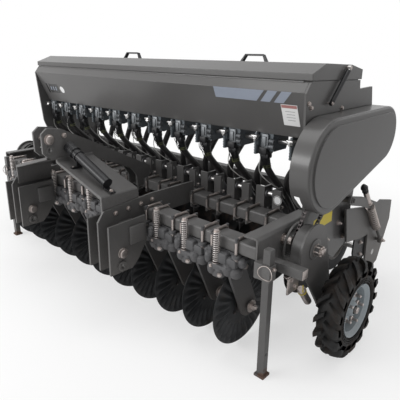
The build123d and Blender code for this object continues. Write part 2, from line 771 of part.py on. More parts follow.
def drive_chain():
    """Roller chain as a closed band round the two sprockets, with the sprockets inside it."""
    low = (swing_y, swing_z, drum_core_r + side_gap)
    x = (chain_x - chain_width / 2, chain_x + chain_width / 2)
    grown = [(c[0], c[1], c[2] + chain_height) for c in (low, high_sprocket)]
    band = hull_plate(*grown, x) - hull_plate(low, high_sprocket, (x[0] - 1, x[1] + 1))
    return band


def sleeve(spot):
    """Square socket of a parking stand, on the side beam or on the front of the toolbar."""
    x, y = spot
    half = sleeve_size / 2
    bore = leg_size / 2 + slide_gap
    tube = block((x - half, x + half), (y - half, y + half), (sleeve_low, sleeve_high))
    if x > 0:
        tube += block((beam_x + side_gap, x - half + 1), (y - half, y + half), (sleeve_low, sleeve_high))
    else:
        face = front_bar_y - bar_depth / 2 - side_gap
        tube += block((x - half, x + half), (y + half - 1, face), (bar_top - bar_height, sleeve_high))
    return tube - block((x - bore, x + bore), (y - bore, y + bore), (sleeve_low - 1, sleeve_high + 1))


def stand_leg(spot):
    x, y = spot
    half = leg_size / 2
    leg = block((x - half, x + half), (y - half, y + half), (foot_thick, leg_top))
    foot = foot_size / 2
    return leg + block((x - foot, x + foot), (y - foot, y + foot), (0, foot_thick))


def cross_bar():
    """Angle bar between the end plates behind the drag arms."""
    x = (-beam_left + side_gap, hopper_right - side_gap)
    bar = block(x, (cross_y, cross_y + cross_plate), (cross_low, cross_high))
    return bar + block(x, (cross_y, cross_y + cross_depth), (cross_high - cross_plate, cross_high))


os.makedirs("parts", exist_ok=True)
left_in = beam_x - beam_left

write("front_toolbar", toolbar(front_bar_y))
write("rear_toolbar", toolbar(rear_bar_y))
write("side_beam_right", side_beam(beam_x))
write("side_beam_left", mirrored(side_beam(beam_left)))
write("end_plate_right", end_plate_right())
write("end_plate_left", end_plate_left())
write("hitch_bracket_right", hitch_bracket())
write("hitch_bracket_left", mirrored(hitch_bracket()))
write("hitch_mast", mast())
write("hitch_pins", group([lower_pin(), mirrored(lower_pin()), top_pin()]))
write("document_canister", canister())
write("hopper", hopper())
write("hopper_lid", lid())
write("lid_handles", group([lid_handle(x) for x in handle_x]))
for side, word in ((1, "right"), (-1, "left")):
    barrel, shaft = strut_pair(side)
    write(f"strut_barrel_{word}", barrel)
    write(f"strut_rod_{word}", shaft)
write("strut_studs", group([studs(1)[0], studs(-1)[0]]))
write("lid_studs", group([studs(1)[1], studs(-1)[1]]))
write("seed_meters", group([meter(r) for r in rows] + [spout(r) for r in rows]))
write("meter_shaft", rod((hopper_left + 20, hopper_right + end_plate + 34), shaft_y, shaft_z, shaft_r))
write("seed_tubes", group([seed_tube(r) for r in rows]))
write("rear_tubes", group([rear_tube(r) for r in rows]))
write("rear_crossbar", cross_bar())
write("coulter_clamps", group([coulter_clamp(r) for r in rows]))
write("coulter_arms", group([coulter_arm(r) for r in rows]))
write("coulter_springs", group([coulter_spring(r) for r in rows]))
for n, r in enumerate(rows):
    write(f"coulter_disc_{n + 1:02d}", coulter_disc(r))
write("row_clamps", group([row_clamp(r) for r in rows]))
write("row_arms", group([row_arm(r) for r in rows]))
write("opener_discs", group([d for r in rows for d in opener_pair(r)]))
write("press_wheels", group([press_wheel(r) for r in rows]))
axle_ends = (left_in - rear_arm_x - rear_arm_plate, rear_arm_x + rear_arm_plate)
write("press_axle", rod(axle_ends, press_y, press_r, press_axle_r))
write("rear_arm_right", rear_arm())
write("rear_arm_left", Pos(left_in, 0, 0) * mirrored(rear_arm()))
write("depth_adjusters", group([depth_adjuster(), Pos(left_in, 0, 0) * mirrored(depth_adjuster())]))
write("chain_cover", chain_cover())
write("drive_chain", drive_chain())
write("wheel_arm_right", wheel_arm(beam_x))
write("wheel_arm_left", mirrored(wheel_arm(beam_left)))
write("tyre_right", tyre())
write("tyre_left", mirrored(tyre()))
write("rim_right", rim())
write("rim_left", mirrored(rim()))
write("stand_sleeves", group([sleeve(stand_right), sleeve(stand_left)]))
write("stand_leg_right", stand_leg(stand_right))
write("stand_leg_left", stand_leg(stand_left))
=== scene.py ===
import json
import random
from math import atan2, cos, pi, radians, sin, sqrt, tau

import bmesh
import bpy
from mathutils import Matrix, Vector


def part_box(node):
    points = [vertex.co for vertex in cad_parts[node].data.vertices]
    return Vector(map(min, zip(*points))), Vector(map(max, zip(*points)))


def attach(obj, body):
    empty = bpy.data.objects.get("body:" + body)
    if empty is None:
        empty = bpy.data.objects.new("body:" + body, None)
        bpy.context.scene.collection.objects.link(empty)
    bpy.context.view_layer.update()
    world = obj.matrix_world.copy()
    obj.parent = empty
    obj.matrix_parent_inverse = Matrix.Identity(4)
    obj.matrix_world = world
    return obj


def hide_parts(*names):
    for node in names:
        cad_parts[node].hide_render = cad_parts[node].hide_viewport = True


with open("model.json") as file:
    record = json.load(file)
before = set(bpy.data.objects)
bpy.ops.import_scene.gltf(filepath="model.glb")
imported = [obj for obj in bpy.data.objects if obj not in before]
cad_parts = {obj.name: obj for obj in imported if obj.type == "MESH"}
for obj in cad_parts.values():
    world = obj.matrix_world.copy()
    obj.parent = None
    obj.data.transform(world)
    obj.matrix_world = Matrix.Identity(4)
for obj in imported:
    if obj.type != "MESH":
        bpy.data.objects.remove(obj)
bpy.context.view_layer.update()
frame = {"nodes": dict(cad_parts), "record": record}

# Studio: a white sweep under large soft lamps, with the camera at standing height off the drill's
# front right corner. The floor is a pale sheet that keeps the drill's shadow.
scene = bpy.context.scene
scene.view_settings.view_transform = "Standard"

camera = bpy.data.objects.new("camera", bpy.data.cameras.new("camera"))
scene.collection.objects.link(camera)
scene.camera = camera
camera.data.sensor_width = 36
camera.data.lens = 39.14
camera.location = (1.7749, -1.5809, 1.1528)
heading, dip, lean = radians(42.9), radians(19.04), radians(0.41)
camera.rotation_euler = (Matrix.Rotation(heading, 3, "Z") @ Matrix.Rotation(radians(90) - dip, 3, "X")
                         @ Matrix.Rotation(lean, 3, "Z")).to_euler()


class Wire:
    """A socket of a finish's nodes. Sums on it add Math nodes, and add() makes any other node."""

    def __init__(self, tree, socket=None):
        self.tree, self.socket = tree, socket

    def add(self, kind, settings, sockets, out=0):
        node = self.tree.nodes.new("ShaderNode" + kind)
        for name, value in settings.items():
            if name == "stops":
                ramp = node.color_ramp.elements
                while len(ramp) < len(value):
                    ramp.new(1)
                for stop, (place, colour) in zip(ramp, value):
                    stop.position, stop.color = place, colour
            else:
                setattr(node, name, value)
        for name, value in sockets.items():
            if isinstance(value, Wire):
                self.tree.links.new(value.socket, node.inputs[name])
            else:
                node.inputs[name].default_value = value
        return Wire(self.tree, node.outputs[out])

    def sum(self, operation, first, second):
        return self.add("Math", {"operation": operation}, {0: first, 1: second})

    def __add__(self, other):
        return self.sum("ADD", self, other)

    def __mul__(self, other):
        return self.sum("MULTIPLY", self, other)

    def __rsub__(self, other):
        return self.sum("SUBTRACT", other, self)

    __radd__ = __add__
    __rmul__ = __mul__


def new_finish(name):
    """An empty material, its shader, and a Wire that carries the place on the drill in metres."""
    material = bpy.data.materials.new(name)
    material.use_nodes = True
    tree = material.node_tree
    place = Wire(tree).add("TexCoord", {}, {}, out="Object")
    return material, tree.nodes["Principled BSDF"], place


def feed(shader, name, value):
    """Links a Wire to the shader's socket, or sets a plain value on it."""
    if isinstance(value, Wire):
        value.tree.links.new(value.socket, shader.inputs[name])
    else:
        shader.inputs[name].default_value = value


world = bpy.data.worlds.new("studio")
scene.world = world
world.use_nodes = True
sky = world.node_tree.nodes["Background"]
rays = Wire(world.node_tree).add("LightPath", {}, {}, out="Is Camera Ray")
mirror_rays = Wire(world.node_tree, rays.socket.node.outputs["Is Glossy Ray"])
clear_rays = Wire(world.node_tree, rays.socket.node.outputs["Is Transmission Ray"])
sky.inputs["Color"].default_value = (1, 1, 1, 1)
ambient = 0.55
feed(sky, "Strength", ambient + (rays + clear_rays + mirror_rays) * (1 - ambient))

floor_reach = 30
floor_mesh = bpy.data.meshes.new("floor")
floor_mesh.from_pydata([(x, y, 0) for x, y in ((-floor_reach, -floor_reach), (floor_reach, -floor_reach),
                                               (floor_reach, floor_reach), (-floor_reach, floor_reach))],
                       [], [(0, 1, 2, 3)])
floor = bpy.data.objects.new("floor", floor_mesh)
scene.collection.objects.link(floor)
pale, shader, place = new_finish("pale_floor")
feed(shader, "Base Color", (0.95, 0.95, 0.95, 1))
feed(shader, "Roughness", 0.9)
feed(shader, "Specular IOR Level", 0.0)
glow = place.add("Emission", {}, {"Color": (1, 1, 1, 1), "Strength": 1.0})
seen = place.add("LightPath", {}, {}, out="Is Camera Ray")
near = place.add("VectorMath", {"operation": "LENGTH"}, {0: place}, out="Value")
fade = place.add("MapRange", {"interpolation_type": "SMOOTHSTEP"},
                 {"Value": near, "From Min": 0.9, "From Max": 2.6, "To Min": 0.55, "To Max": 1.0})
both = place.add("MixShader", {}, {0: seen * fade, 1: Wire(place.tree, shader.outputs[0]), 2: glow})
place.tree.links.new(both.socket, pale.node_tree.nodes["Material Output"].inputs["Surface"])
floor_mesh.materials.append(pale)


def lamp(name, place, aim, size, power):
    """Soft rectangular lamp at a place, turned to face another."""
    data = bpy.data.lights.new(name, "AREA")
    data.shape = "RECTANGLE"
    data.size, data.size_y = size
    data.energy = power
    light = bpy.data.objects.new(name, data)
    light.location = place
    light.rotation_euler = (Vector(aim) - Vector(place)).to_track_quat("-Z", "Y").to_euler()
    scene.collection.objects.link(light)


lamp("overhead", (0.2, -0.4, 3.6), (0, 0, 0.5), (3.4, 1.6), 36)
lamp("front_left", (-1.8, -3.8, 2.0), (0, 0, 0.7), (3.0, 1.4), 112)
lamp("right_end", (4.4, 0.4, 1.9), (0.8, 0, 0.6), (1.6, 1.2), 8)


# Frame steel: laser-cut plate and rolled tube, welded or bolted, then wet-painted graphite grey with a
# half gloss. The coat has fine orange peel, soft cloudy patches, edges rubbed lighter and dust low down.
def noise(place, scale, detail, roughness=0.5):
    """Cloudy pattern from 0 to 1; a larger scale is a finer pattern."""
    return place.add("TexNoise", {}, {"Vector": place, "Scale": scale, "Detail": detail, "Roughness": roughness})


def mix(factor, first, second):
    """Colour that goes from first to second as factor goes from 0 to 1."""
    return factor.add("Mix", {"data_type": "RGBA"}, {"Factor": factor, "A": first, "B": second}, out="Result")


def tint(colour, share=1.0):
    """A colour made darker or lighter."""
    return (*[share * c for c in colour], 1)


def mask(value, start, end):
    """0 where value is under start, 1 where it is over end."""
    return value.add("ValToRGB", {"stops": [(start, (0, 0, 0, 1)), (end, (1, 1, 1, 1))]}, {"Fac": value})


def low_down(place, top, most, fall="LINEAR"):
    """0 above a height, growing to most at the ground."""
    height = place.add("SeparateXYZ", {}, {"Vector": place}, out="Z")
    return place.add("MapRange", {"interpolation_type": fall},
                     {"Value": height, "From Min": top, "From Max": 0.0, "To Min": 0.0, "To Max": most})


def bump(shader, strength, depth, height, edge_radius=0.0, samples=4):
    """Relief on the shader; edge_radius rounds the light on sharp edges."""
    sockets = {"Strength": strength, "Distance": depth, "Height": height}
    if edge_radius:
        sockets["Normal"] = height.add("Bevel", {"samples": samples}, {"Radius": edge_radius})
    feed(shader, "Normal", height.add("Bump", {}, sockets))


dry_soil = (0.16, 0.12, 0.085, 1)


def enamel(name, colour, gloss, dust=0.35, grain=0.05):
    """Sprayed paint; a lower gloss number is shinier, and grain is how deep its peel is."""
    material, shader, place = new_finish(name)
    cloud = noise(place, 4.0, 4.0, 0.6)
    speck = noise(place, 80.0, 3.0, 0.7)
    peel = noise(place, 600.0, 2.0)
    grime = low_down(place, 0.5, 1.0, "SMOOTHSTEP") * speck * dust
    worn = mask(place.add("NewGeometry", {}, {}, out="Pointiness"), 0.53, 0.62)
    tone = mix(cloud, tint(colour, 0.84), tint(colour, 1.18))
    tone = mix(worn * speck * 0.5, tone, tint(colour, 2.4))
    feed(shader, "Base Color", mix(grime, tone, dry_soil))
    feed(shader, "Roughness", gloss + speck * 0.14 + grime * 0.4)
    feed(shader, "Specular IOR Level", 0.38)
    bump(shader, grain, 0.0005, peel, edge_radius=0.0022)
    return material


def paint(material, *names):
    """Carries a finish onto CAD nodes."""
    for name in names:
        data = frame["nodes"][name].data
        data.materials.clear()
        data.materials.append(material)


frame_coat = enamel("graphite_frame_coat", (0.076, 0.074, 0.073), 0.34)
paint(frame_coat, "front_toolbar", "rear_toolbar", "side_beam_right", "side_beam_left", "rear_crossbar",
      "hitch_bracket_right", "hitch_bracket_left", "hitch_mast", "rear_arm_right", "rear_arm_left",
      "wheel_arm_right", "wheel_arm_left", "stand_sleeves", "row_clamps")


# Sheet metal: the seed box, its lid, the end plates and the drive cover, folded from 2 to 3 mm sheet and
# painted like the frame. The sheet is smoother and glossier, and its long faces wave very slightly.
def sheet_coat(name, colour, gloss):
    material, shader, place = new_finish(name)
    cloud = noise(place, 2.2, 3.0)
    speck = noise(place, 110.0, 3.0, 0.6)
    wave = noise(place, 6.0, 1.0)
    peel = noise(place, 420.0, 2.0)
    feed(shader, "Base Color", mix(cloud, tint(colour, 0.9), tint(colour, 1.12)))
    feed(shader, "Roughness", gloss + speck * 0.08)
    feed(shader, "Specular IOR Level", 0.38)
    feed(shader, "Coat Weight", 0.04 + cloud * 0.06)
    bump(shader, 0.12, 0.004, wave + peel * 0.02, edge_radius=0.004, samples=6)
    return material


box_coat = sheet_coat("graphite_sheet_coat", (0.082, 0.080, 0.079), 0.27)
paint(box_coat, "hopper", "hopper_lid", "end_plate_right", "end_plate_left", "chain_cover")


# Bolts: zinc-plated hexagon screws with washers, used all over the frame, the end plates and the box. Each
# has a chamfered head or nut and a short threaded end. The plating is warm grey and slightly blotched.
def plated(name, colour, gloss):
    material, shader, place = new_finish(name)
    blotch = noise(place, 60.0, 4.0, 0.7)
    feed(shader, "Base Color", mix(blotch, tint(colour, 0.62), tint(colour)))
    feed(shader, "Metallic", 0.92)
    feed(shader, "Roughness", gloss + blotch * 0.25)
    return material


zinc = plated("zinc_plate", (0.52, 0.465, 0.44), 0.24)
bright = plated("bright_steel", (0.58, 0.57, 0.56), 0.22)
blackened = plated("blackened_steel", (0.10, 0.09, 0.09), 0.30)


def aim(centre, way):
    """A place whose own Z runs along way."""
    return Matrix.Translation(centre) @ Vector(way).to_track_quat("Z", "Y").to_matrix().to_4x4()


class Forge:
    """A mesh under construction: turned, folded and swept shapes join in one bmesh."""

    def __init__(self):
        self.mesh = bmesh.new()

    def grid(self, rings, closed=True, caps=False, place=Matrix()):
        """Faces between rings of points; closed joins each ring's ends."""
        rings = [[self.mesh.verts.new(place @ Vector(p)) for p in ring] for ring in rings]
        count = len(rings[0])
        for one, two in zip(rings, rings[1:]):
            for i in range(count if closed else count - 1):
                k = (i + 1) % count
                self.mesh.faces.new((one[i], one[k], two[k], two[i]))
        if caps:
            self.mesh.faces.new(rings[0][::-1])
            self.mesh.faces.new(rings[-1])

    def turn(self, profile, place=Matrix(), steps=24, start=0.0):
        """Turned shape from (radius, along) stations about the place's Z; 6 steps make a hexagon."""
        rings = [[(r * cos(start + tau * i / steps), r * sin(start + tau * i / steps), z) for i in range(steps)]
                 for r, z in profile]
        self.grid(rings, caps=True, place=place)

    def disc(self, radius, thick, place, steps=20):
        """Washer or other flat round, standing on its place."""
        self.turn([(radius, 0), (radius, thick)], place, steps)

    def ring(self, profile, place=Matrix(), steps=48):
        """Turned ring: a closed outline of (radius, along) stations carried round the place's Z."""
        rings = [[(r * cos(tau * i / steps), r * sin(tau * i / steps), z) for r, z in profile]
                 for i in range(steps)]
        self.grid(rings + rings[:1], place=place)

    def plate(self, outline, x, thick):
        """Flat plate across X from an outline of (y, z) corners."""
        self.grid([[(x, y, z) for y, z in outline], [(x + thick, y, z) for y, z in outline]], caps=True)

    def sweep(self, line, radius, steps=10, caps=True):
        """Round bar along a line of points; radius is one number or one for each point."""
        line = [Vector(p) for p in line]
        sizes = radius if isinstance(radius, list) else [radius] * len(line)
        ways = [(line[min(i + 1, len(line) - 1)] - line[max(i - 1, 0)]).normalized() for i in range(len(line))]
        side = ways[0].orthogonal().normalized()
        rings = []
        for p, way, size in zip(line, ways, sizes):
            side = (side - way * side.dot(way)).normalized()
            other = way.cross(side)
            rings.append([p + (side * cos(tau * k / steps) + other * sin(tau * k / steps)) * size
                          for k in range(steps)])
        self.grid(rings, caps=caps)

    def bar(self, low, high, ease=0.0015, place=Matrix()):
        """Block between two corners with its edges eased."""
        low, high = Vector(low), Vector(high)
        made = bmesh.ops.create_cube(self.mesh, size=1.0)["verts"]
        size = high - low
        ease = min(ease, 0.45 * min(size))
        for v in made:
            v.co = Vector([(low[k] + high[k]) / 2 + v.co[k] * size[k] for k in range(3)])
        edges = {e for v in made for e in v.link_edges}
        out = bmesh.ops.bevel(self.mesh, geom=list(edges), offset=ease, segments=2, profile=0.5, affect="EDGES")
        made = {v for f in out["faces"] for v in f.verts} | {v for v in made if v.is_valid}
        for v in made:
            v.co = place @ v.co

    def bolt(self, centre, way, size, stud=0.0):
        """Washer, chamfered hexagon and, where stud is over 0, a threaded end that long."""
        place = aim(centre, way)
        washer_r, root_r, crest_r, thread = 1.25 * size, 0.52 * size, 0.58 * size, 0.0012
        self.turn([(washer_r, -0.002), (washer_r, 0.22 * size)], place, 20)
        self.turn([(size, 0.2 * size), (size, 0.85 * size), (0.86 * size, size)], place, 6, start=random.random())
        if stud:
            count = max(4, int(stud / thread))
            stations = [(root_r if i % 2 else crest_r, size + stud * i / count) for i in range(count)]
            self.turn(stations + [(0.4 * size, size + stud + 0.0008)], place, 12)
        else:
            self.turn([(0.55 * size, 0.99 * size), (0.5 * size, 1.06 * size)], place, 12)

    def done(self, name, material, body="frame", smooth=35):
        """Closes the mesh as a piece in a finish, on a body; edges over smooth degrees stay sharp."""
        bmesh.ops.remove_doubles(self.mesh, verts=self.mesh.verts, dist=1e-6)
        bmesh.ops.recalc_face_normals(self.mesh, faces=self.mesh.faces)
        data = bpy.data.meshes.new(name)
        self.mesh.to_mesh(data)
        self.mesh.free()
        data.materials.append(material)
        data.polygons.foreach_set("use_smooth", [True] * len(data.polygons))
        data.set_sharp_from_angle(angle=radians(smooth))
        piece = bpy.data.objects.new(name, data)
        scene.collection.objects.link(piece)
        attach(piece, body)
        return piece


def eased(corners, radius, steps=6):
    """A line of points through corners, with each inner corner rounded."""
    corners = [Vector(c) for c in corners]
    line = [corners[0]]
    for a, b, c in zip(corners, corners[1:], corners[2:]):
        u, v = (a - b), (c - b)
        cut = min(radius, 0.48 * u.length, 0.48 * v.length)
        p, q = b + u.normalized() * cut, b + v.normalized() * cut
        for i in range(steps + 1):
            t = i / steps
            line.append(p * (1 - t) ** 2 + b * 2 * t * (1 - t) + q * t * t)
    return line + [corners[-1]]


random.seed(7)


# Hitch hardware: the pins through the lower brackets and the mast, with washers and nuts, the weld-on
# bushes round the spare holes, and the screws that clamp each bracket's spine to the mast's legs. The
# three screws in front have star heads, each two hexagons turned on one another.
hitch_mid, hitch_step, plate_half = 0.377, 0.071, 0.005
pin_y, pin_z, pin_r = -0.621, 0.369, 0.0143
spare_y, spare_z, spare_r = -0.627, 0.315, 0.0112
spine_y, spine_z, spine_slope = -0.591, 0.515, 0.07
mast_face, top_pin_y, top_pin_z, top_low_z, top_hole_r = 0.041, -0.671, 0.784, 0.737, 0.0099
mast_bolt_y, mast_bolt_z = -0.597, 0.793
paint(zinc, "hitch_pins")
forge, bush, pads = Forge(), Forge(), Forge()
for side in (1, -1):
    face = side * hitch_mid + hitch_step + plate_half
    bush.ring([(spare_r + 0.0002, 0), (0.0215, 0), (0.0215, 0.009), (0.0195, 0.011), (spare_r + 0.0002, 0.011)],
              aim((face, spare_y, spare_z), (1, 0, 0)), 32)
    bush.ring([(pin_r + 0.001, 0), (0.026, 0), (0.026, 0.002), (pin_r + 0.001, 0.002)],
              aim((face, pin_y, pin_z), (1, 0, 0)), 32)
    head = aim((face + 0.002, pin_y, pin_z), (1, 0, 0))
    forge.turn([(0.0225, 0), (0.0225, 0.003), (0.0215, 0.004)], head, 32)
    forge.turn([(0.0185, 0.004), (0.0185, 0.012), (0.016, 0.0145), (0.009, 0.0155)], head, 32)
    for y, hexagons in ((spine_y, 2), (-0.525, 2), (-0.457, 2), (-0.394, 1)):
        z = spine_z + (y - spine_y) * spine_slope
        for _ in range(hexagons):
            forge.bolt((side * hitch_mid + plate_half, y, z), (1, 0, 0), 0.0085)
            forge.bolt((side * hitch_mid - plate_half, y, z), (-1, 0, 0), 0.0085, 0.008)
    pads.bar((face + 0.0005, -0.585, 0.395), (face + 0.0125, -0.507, 0.473), 0.0085)
forge.turn([(0.0235, 0), (0.0235, 0.003), (0.019, 0.003), (0.019, 0.012), (0.0165, 0.0145), (0.009, 0.0155)],
           aim((mast_face + 0.0003, top_pin_y, top_pin_z), (1, 0, 0)), 32)
for side in (1, -1):
    forge.bolt((side * mast_face, mast_bolt_y, mast_bolt_z), (side, 0, 0), 0.010)
bush.ring([(top_hole_r, 0), (0.019, 0), (0.019, 0.004), (top_hole_r, 0.004)],
          aim((mast_face, top_pin_y, top_low_z), (1, 0, 0)), 32)
pads.done("hitch_pads", frame_coat)
forge.done("hitch_bolts", zinc)
bush.done("hitch_bushes", frame_coat)


# Document canister: a moulded black tube with a ribbed screw cap, strapped on the mast's right leg for
# the handbook. It is glossy polythene, with a moulded band at the cap and a lug bolted at its foot.
def moulded(name, colour, gloss, grain=0.05):
    material, shader, place = new_finish(name)
    speck = noise(place, 240.0, 3.0)
    cloud = noise(place, 9.0, 3.0)
    feed(shader, "Base Color", mix(cloud, tint(colour), (*[1.7 * c + 0.002 for c in colour], 1)))
    feed(shader, "Roughness", gloss + speck * 0.15)
    feed(shader, "Specular IOR Level", 0.3)
    bump(shader, grain, 0.0006, speck, edge_radius=0.002)
    return material


black_plastic = moulded("black_moulding", (0.007, 0.007, 0.008), 0.30)
paint(black_plastic, "document_canister", "lid_handles", "strut_barrel_right", "strut_barrel_left")
canister_y, canister_r, cap_ribs = -0.590, 0.024, 26
cap_end, foot_end = Vector((0.060, canister_y, 0.745)), Vector((0.338, canister_y, 0.633))
place = aim(cap_end, (foot_end - cap_end).normalized())
forge, screw = Forge(), Forge()
for k in range(cap_ribs):
    forge.bar((-0.0016, canister_r + 0.0002, 0.004), (0.0016, canister_r + 0.0018, 0.044), 0.0006,
              place @ Matrix.Rotation(tau * k / cap_ribs, 4, "Z"))
forge.ring([(canister_r + 0.0005, 0.047), (canister_r + 0.003, 0.047), (canister_r + 0.003, 0.056),
            (canister_r + 0.0005, 0.056)], place)
lug = [(0.322, 0.6120), (0.340, 0.6075), (0.372, 0.5985)]
lug_half, lug_thick = 0.013, 0.004
forge.grid([[(x, canister_y - lug_half, z), (x, canister_y + lug_half, z), (x, canister_y + lug_half, z + lug_thick),
             (x, canister_y - lug_half, z + lug_thick)] for x, z in lug], caps=True)
lug_way = (0.27, 0, 1)
screw.disc(0.0085, 0.0016, aim((0.359, canister_y, 0.6065), lug_way))
screw.bolt((0.359, canister_y, 0.608), lug_way, 0.0055)
screw.bolt((0.128, -0.617, 0.668), lug_way, 0.0045)
forge.bar((0.118, -0.628, 0.664), (0.138, -0.600, 0.669), 0.001)
screw.done("canister_screws", zinc)
forge.done("canister_ribs", black_plastic)


# Seed box trim: three slanted stripes and a notice with a red head and plain grey bars on the front sheet,
# and at its left end a black rate gauge with a round white tag. All are thin vinyl laid on the sloping sheet.
def vinyl(name, colour, gloss=0.35):
    material, shader, place = new_finish(name)
    cloud = noise(place, 30.0, 2.0)
    feed(shader, "Base Color", mix(cloud, tint(colour, 0.92), tint(colour)))
    feed(shader, "Roughness", gloss + cloud * 0.1)
    return material


stripe_blue = vinyl("blue_grey_vinyl", (0.26, 0.29, 0.35))
white_vinyl = vinyl("white_vinyl", (0.72, 0.72, 0.72))
red_vinyl = vinyl("dull_red_vinyl", (0.35, 0.16, 0.15))
grey_vinyl = vinyl("grey_vinyl", (0.25, 0.25, 0.26))
# black vinyl for the gauge's print, also used for discs that paint the shade inside holes
black_print_and_hole_shade = vinyl("black_print_and_hole_shade", (0.012, 0.012, 0.012), 0.2)
belly, foot = Vector((0, -0.219, 1.015)), Vector((0, -0.143, 0.842))
down = (foot - belly).normalized()
outward = Vector((0, down.z, -down.y))


def decal(name, material, corners, lift=0.0004, thick=0.0003):
    """Thin sheet on the front face from (x, distance below the belly fold) corners."""
    forge = Forge()
    face = [Vector((x, 0, 0)) + belly + down * t + outward * lift for x, t in corners]
    forge.grid([face, [p + outward * thick for p in face]], caps=True)
    forge.done(name, material)


def block(left, right, top, low, slant=0.0):
    """Corners of a four-sided decal; slant shifts its lower edge."""
    return [(left, top), (right, top), (right + slant, low), (left + slant, low)]


on_decal = 0.0012
stripe_top, stripe_low, stripe_slant = 0.0005, 0.047, -0.042
decal("stripe_long", stripe_blue, [(0.577, stripe_top), (0.826, stripe_top), (0.782, stripe_low), (0.577, stripe_low)])
for word, left in (("middle", 0.842), ("end", 0.902)):
    decal("stripe_" + word, stripe_blue, block(left, left + 0.042, stripe_top, stripe_low, stripe_slant))
decal("notice", white_vinyl, block(0.889, 0.958, 0.051, 0.138), 0.0008)
decal("notice_head", red_vinyl, block(0.891, 0.956, 0.053, 0.065), on_decal)
for k, (top, inset) in enumerate(((0.078, 0.006), (0.090, 0.010), (0.102, 0.008), (0.114, 0.012))):
    decal("notice_line_%d" % k, grey_vinyl, block(0.898 + inset, 0.948 - inset / 2, top, top + 0.002), on_decal)
decal("gauge_slot", black_print_and_hole_shade, block(-0.838, -0.826, 0.070, 0.132))
decal("gauge_plate", black_print_and_hole_shade, block(-0.808, -0.706, 0.072, 0.128))
for k in range(3):
    left = -0.792 + k * 0.028
    decal("gauge_mark_%d" % k, stripe_blue, block(left, left + 0.010, 0.088, 0.112, -0.006), on_decal)
tag_r = 0.021
decal("round_tag", white_vinyl, [(-0.668 + tag_r * cos(tau * k / 28), 0.103 + tag_r * sin(tau * k / 28))
                                 for k in range(28)])


# Rolling coulters: hard dark blades with twenty-six shallow flutes pressed in outside a small flat middle,
# each bolted on a hub that turns on its arm's spindle. The blades are oiled black with a faint sheen.
def blade_steel():
    material, shader, place = new_finish("dark_blade_steel")
    cloud = noise(place, 14.0, 5.0, 0.65)
    speck = noise(place, 160.0, 3.0)
    feed(shader, "Base Color", place.add("ValToRGB", {"stops": [
        (0.30, (0.018, 0.019, 0.021, 1)), (0.55, (0.030, 0.031, 0.033, 1)), (0.85, (0.055, 0.047, 0.041, 1))]},
        {"Fac": cloud}))
    feed(shader, "Metallic", 0.35)
    feed(shader, "Roughness", 0.36 + cloud * 0.22 + speck * 0.06)
    bump(shader, 0.08, 0.0005, speck)
    return material


def axis_of(name):
    """Where a hinge's axis crosses its body, from the record."""
    return Vector([j for j in frame["record"]["behaviour"]["joints"] if j["name"] == name][0]["pos_m"])


row_count, row_pitch = 11, 0.1651
rows = [(row_count // 2 - n) * row_pitch for n in range(row_count)]
blade = blade_steel()
disc_r, flat_r, bore_r, flutes, flute_deep, sheet_half = 0.180, 0.078, 0.010, 26, 0.0050, 0.0017
flute_rise, flute_end, flute_lean, edge_wide = 0.045, 0.030, 6.0, 0.010
steps, bands = flutes * 9, 17
for n in range(row_count):
    hub = axis_of("coulter_spin_%02d" % (n + 1))
    spot = Matrix.Translation(hub)
    forge = Forge()
    faces = []
    for face in (sheet_half, -sheet_half):
        rings = []
        for b in range(bands + 1):
            r = bore_r + (disc_r - bore_r) * b / bands
            grow = max(0.0, min(1.0, (r - flat_r) / flute_rise))
            end = max(0.0, min(1.0, (disc_r - 0.006 - r) / flute_end))
            height = flute_deep * grow * grow * (3 - 2 * grow) * end * end * (3 - 2 * end)
            thin = face * max(0.25, min(1.0, (disc_r - r) / edge_wide))
            rings.append([(thin + height * sin(flutes * tau * k / steps - flute_lean * (r - flat_r)),
                           r * cos(tau * k / steps), r * sin(tau * k / steps)) for k in range(steps)])
        faces.append(rings)
    forge.grid(faces[0], place=spot)
    forge.grid([r[::-1] for r in faces[1]], place=spot)
    for edge in (0, -1):
        forge.grid([faces[0][edge], faces[1][edge]], place=spot)
    disc = forge.done("fluted_coulter_%02d" % (n + 1), blade, "disc_%02d" % (n + 1), 60)
    forge = Forge()
    forge.ring([(0.0101, -0.014), (0.030, -0.014), (0.034, -0.006), (0.046, -0.003), (0.046, 0.003), (0.034, 0.004),
                (0.030, 0.0100), (0.0101, 0.0100)], spot @ Matrix.Rotation(radians(90), 4, "Y"), 40)
    for k in range(4):
        a = tau * k / 4 + 0.5
        where = hub + Vector((0, 0.058 * cos(a), 0.058 * sin(a)))
        for way in (1, -1):
            forge.bolt(where + Vector((way * sheet_half, 0, 0)), (way, 0, 0), 0.0062)
    hubs = forge.done("coulter_hub_%02d" % (n + 1), blackened, "disc_%02d" % (n + 1))
    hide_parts("coulter_disc_%02d" % (n + 1))
    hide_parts("coulter_disc_%02d" % (n + 1))


# Coulter carriers: iron castings clamped under the front toolbar by U-bolts, with a flat drop arm, a
# spindle bolt and a down-pressure spring. They are painted with the frame, over a rough cast skin.
casting = enamel("painted_casting", (0.066, 0.066, 0.069), 0.46, 0.4, 0.35)
paint(casting, "coulter_clamps", "coulter_arms", "row_arms")
bar_top, bar_low, bar_half = 0.507, 0.456, 0.038
front_bar, rear_bar = -0.409, -0.122
ubolt_r = 0.0063
pivot_y, pivot_z, toe_y = -0.420, 0.405, -0.470
spindle_y, spindle_z = -0.330, 0.182
clamp_shift, bolt_gap, arm_out = 0.023, 0.116, 0.060
lumps = [(-0.016, -0.048, -0.030, 0.022, 0.020), (0.020, -0.046, -0.034, 0.020, 0.026),
         (0.052, -0.040, -0.016, 0.024, 0.024), (0.078, -0.028, -0.022, 0.026, 0.022),
         (-0.034, -0.050, 0.012, 0.018, 0.026), (0.100, -0.020, 0.020, 0.018, 0.020)]
castings, fixings = Forge(), Forge()
reach, top, foot = bar_half + ubolt_r + 0.0002, bar_top + ubolt_r + 0.0001, bar_low - 0.036
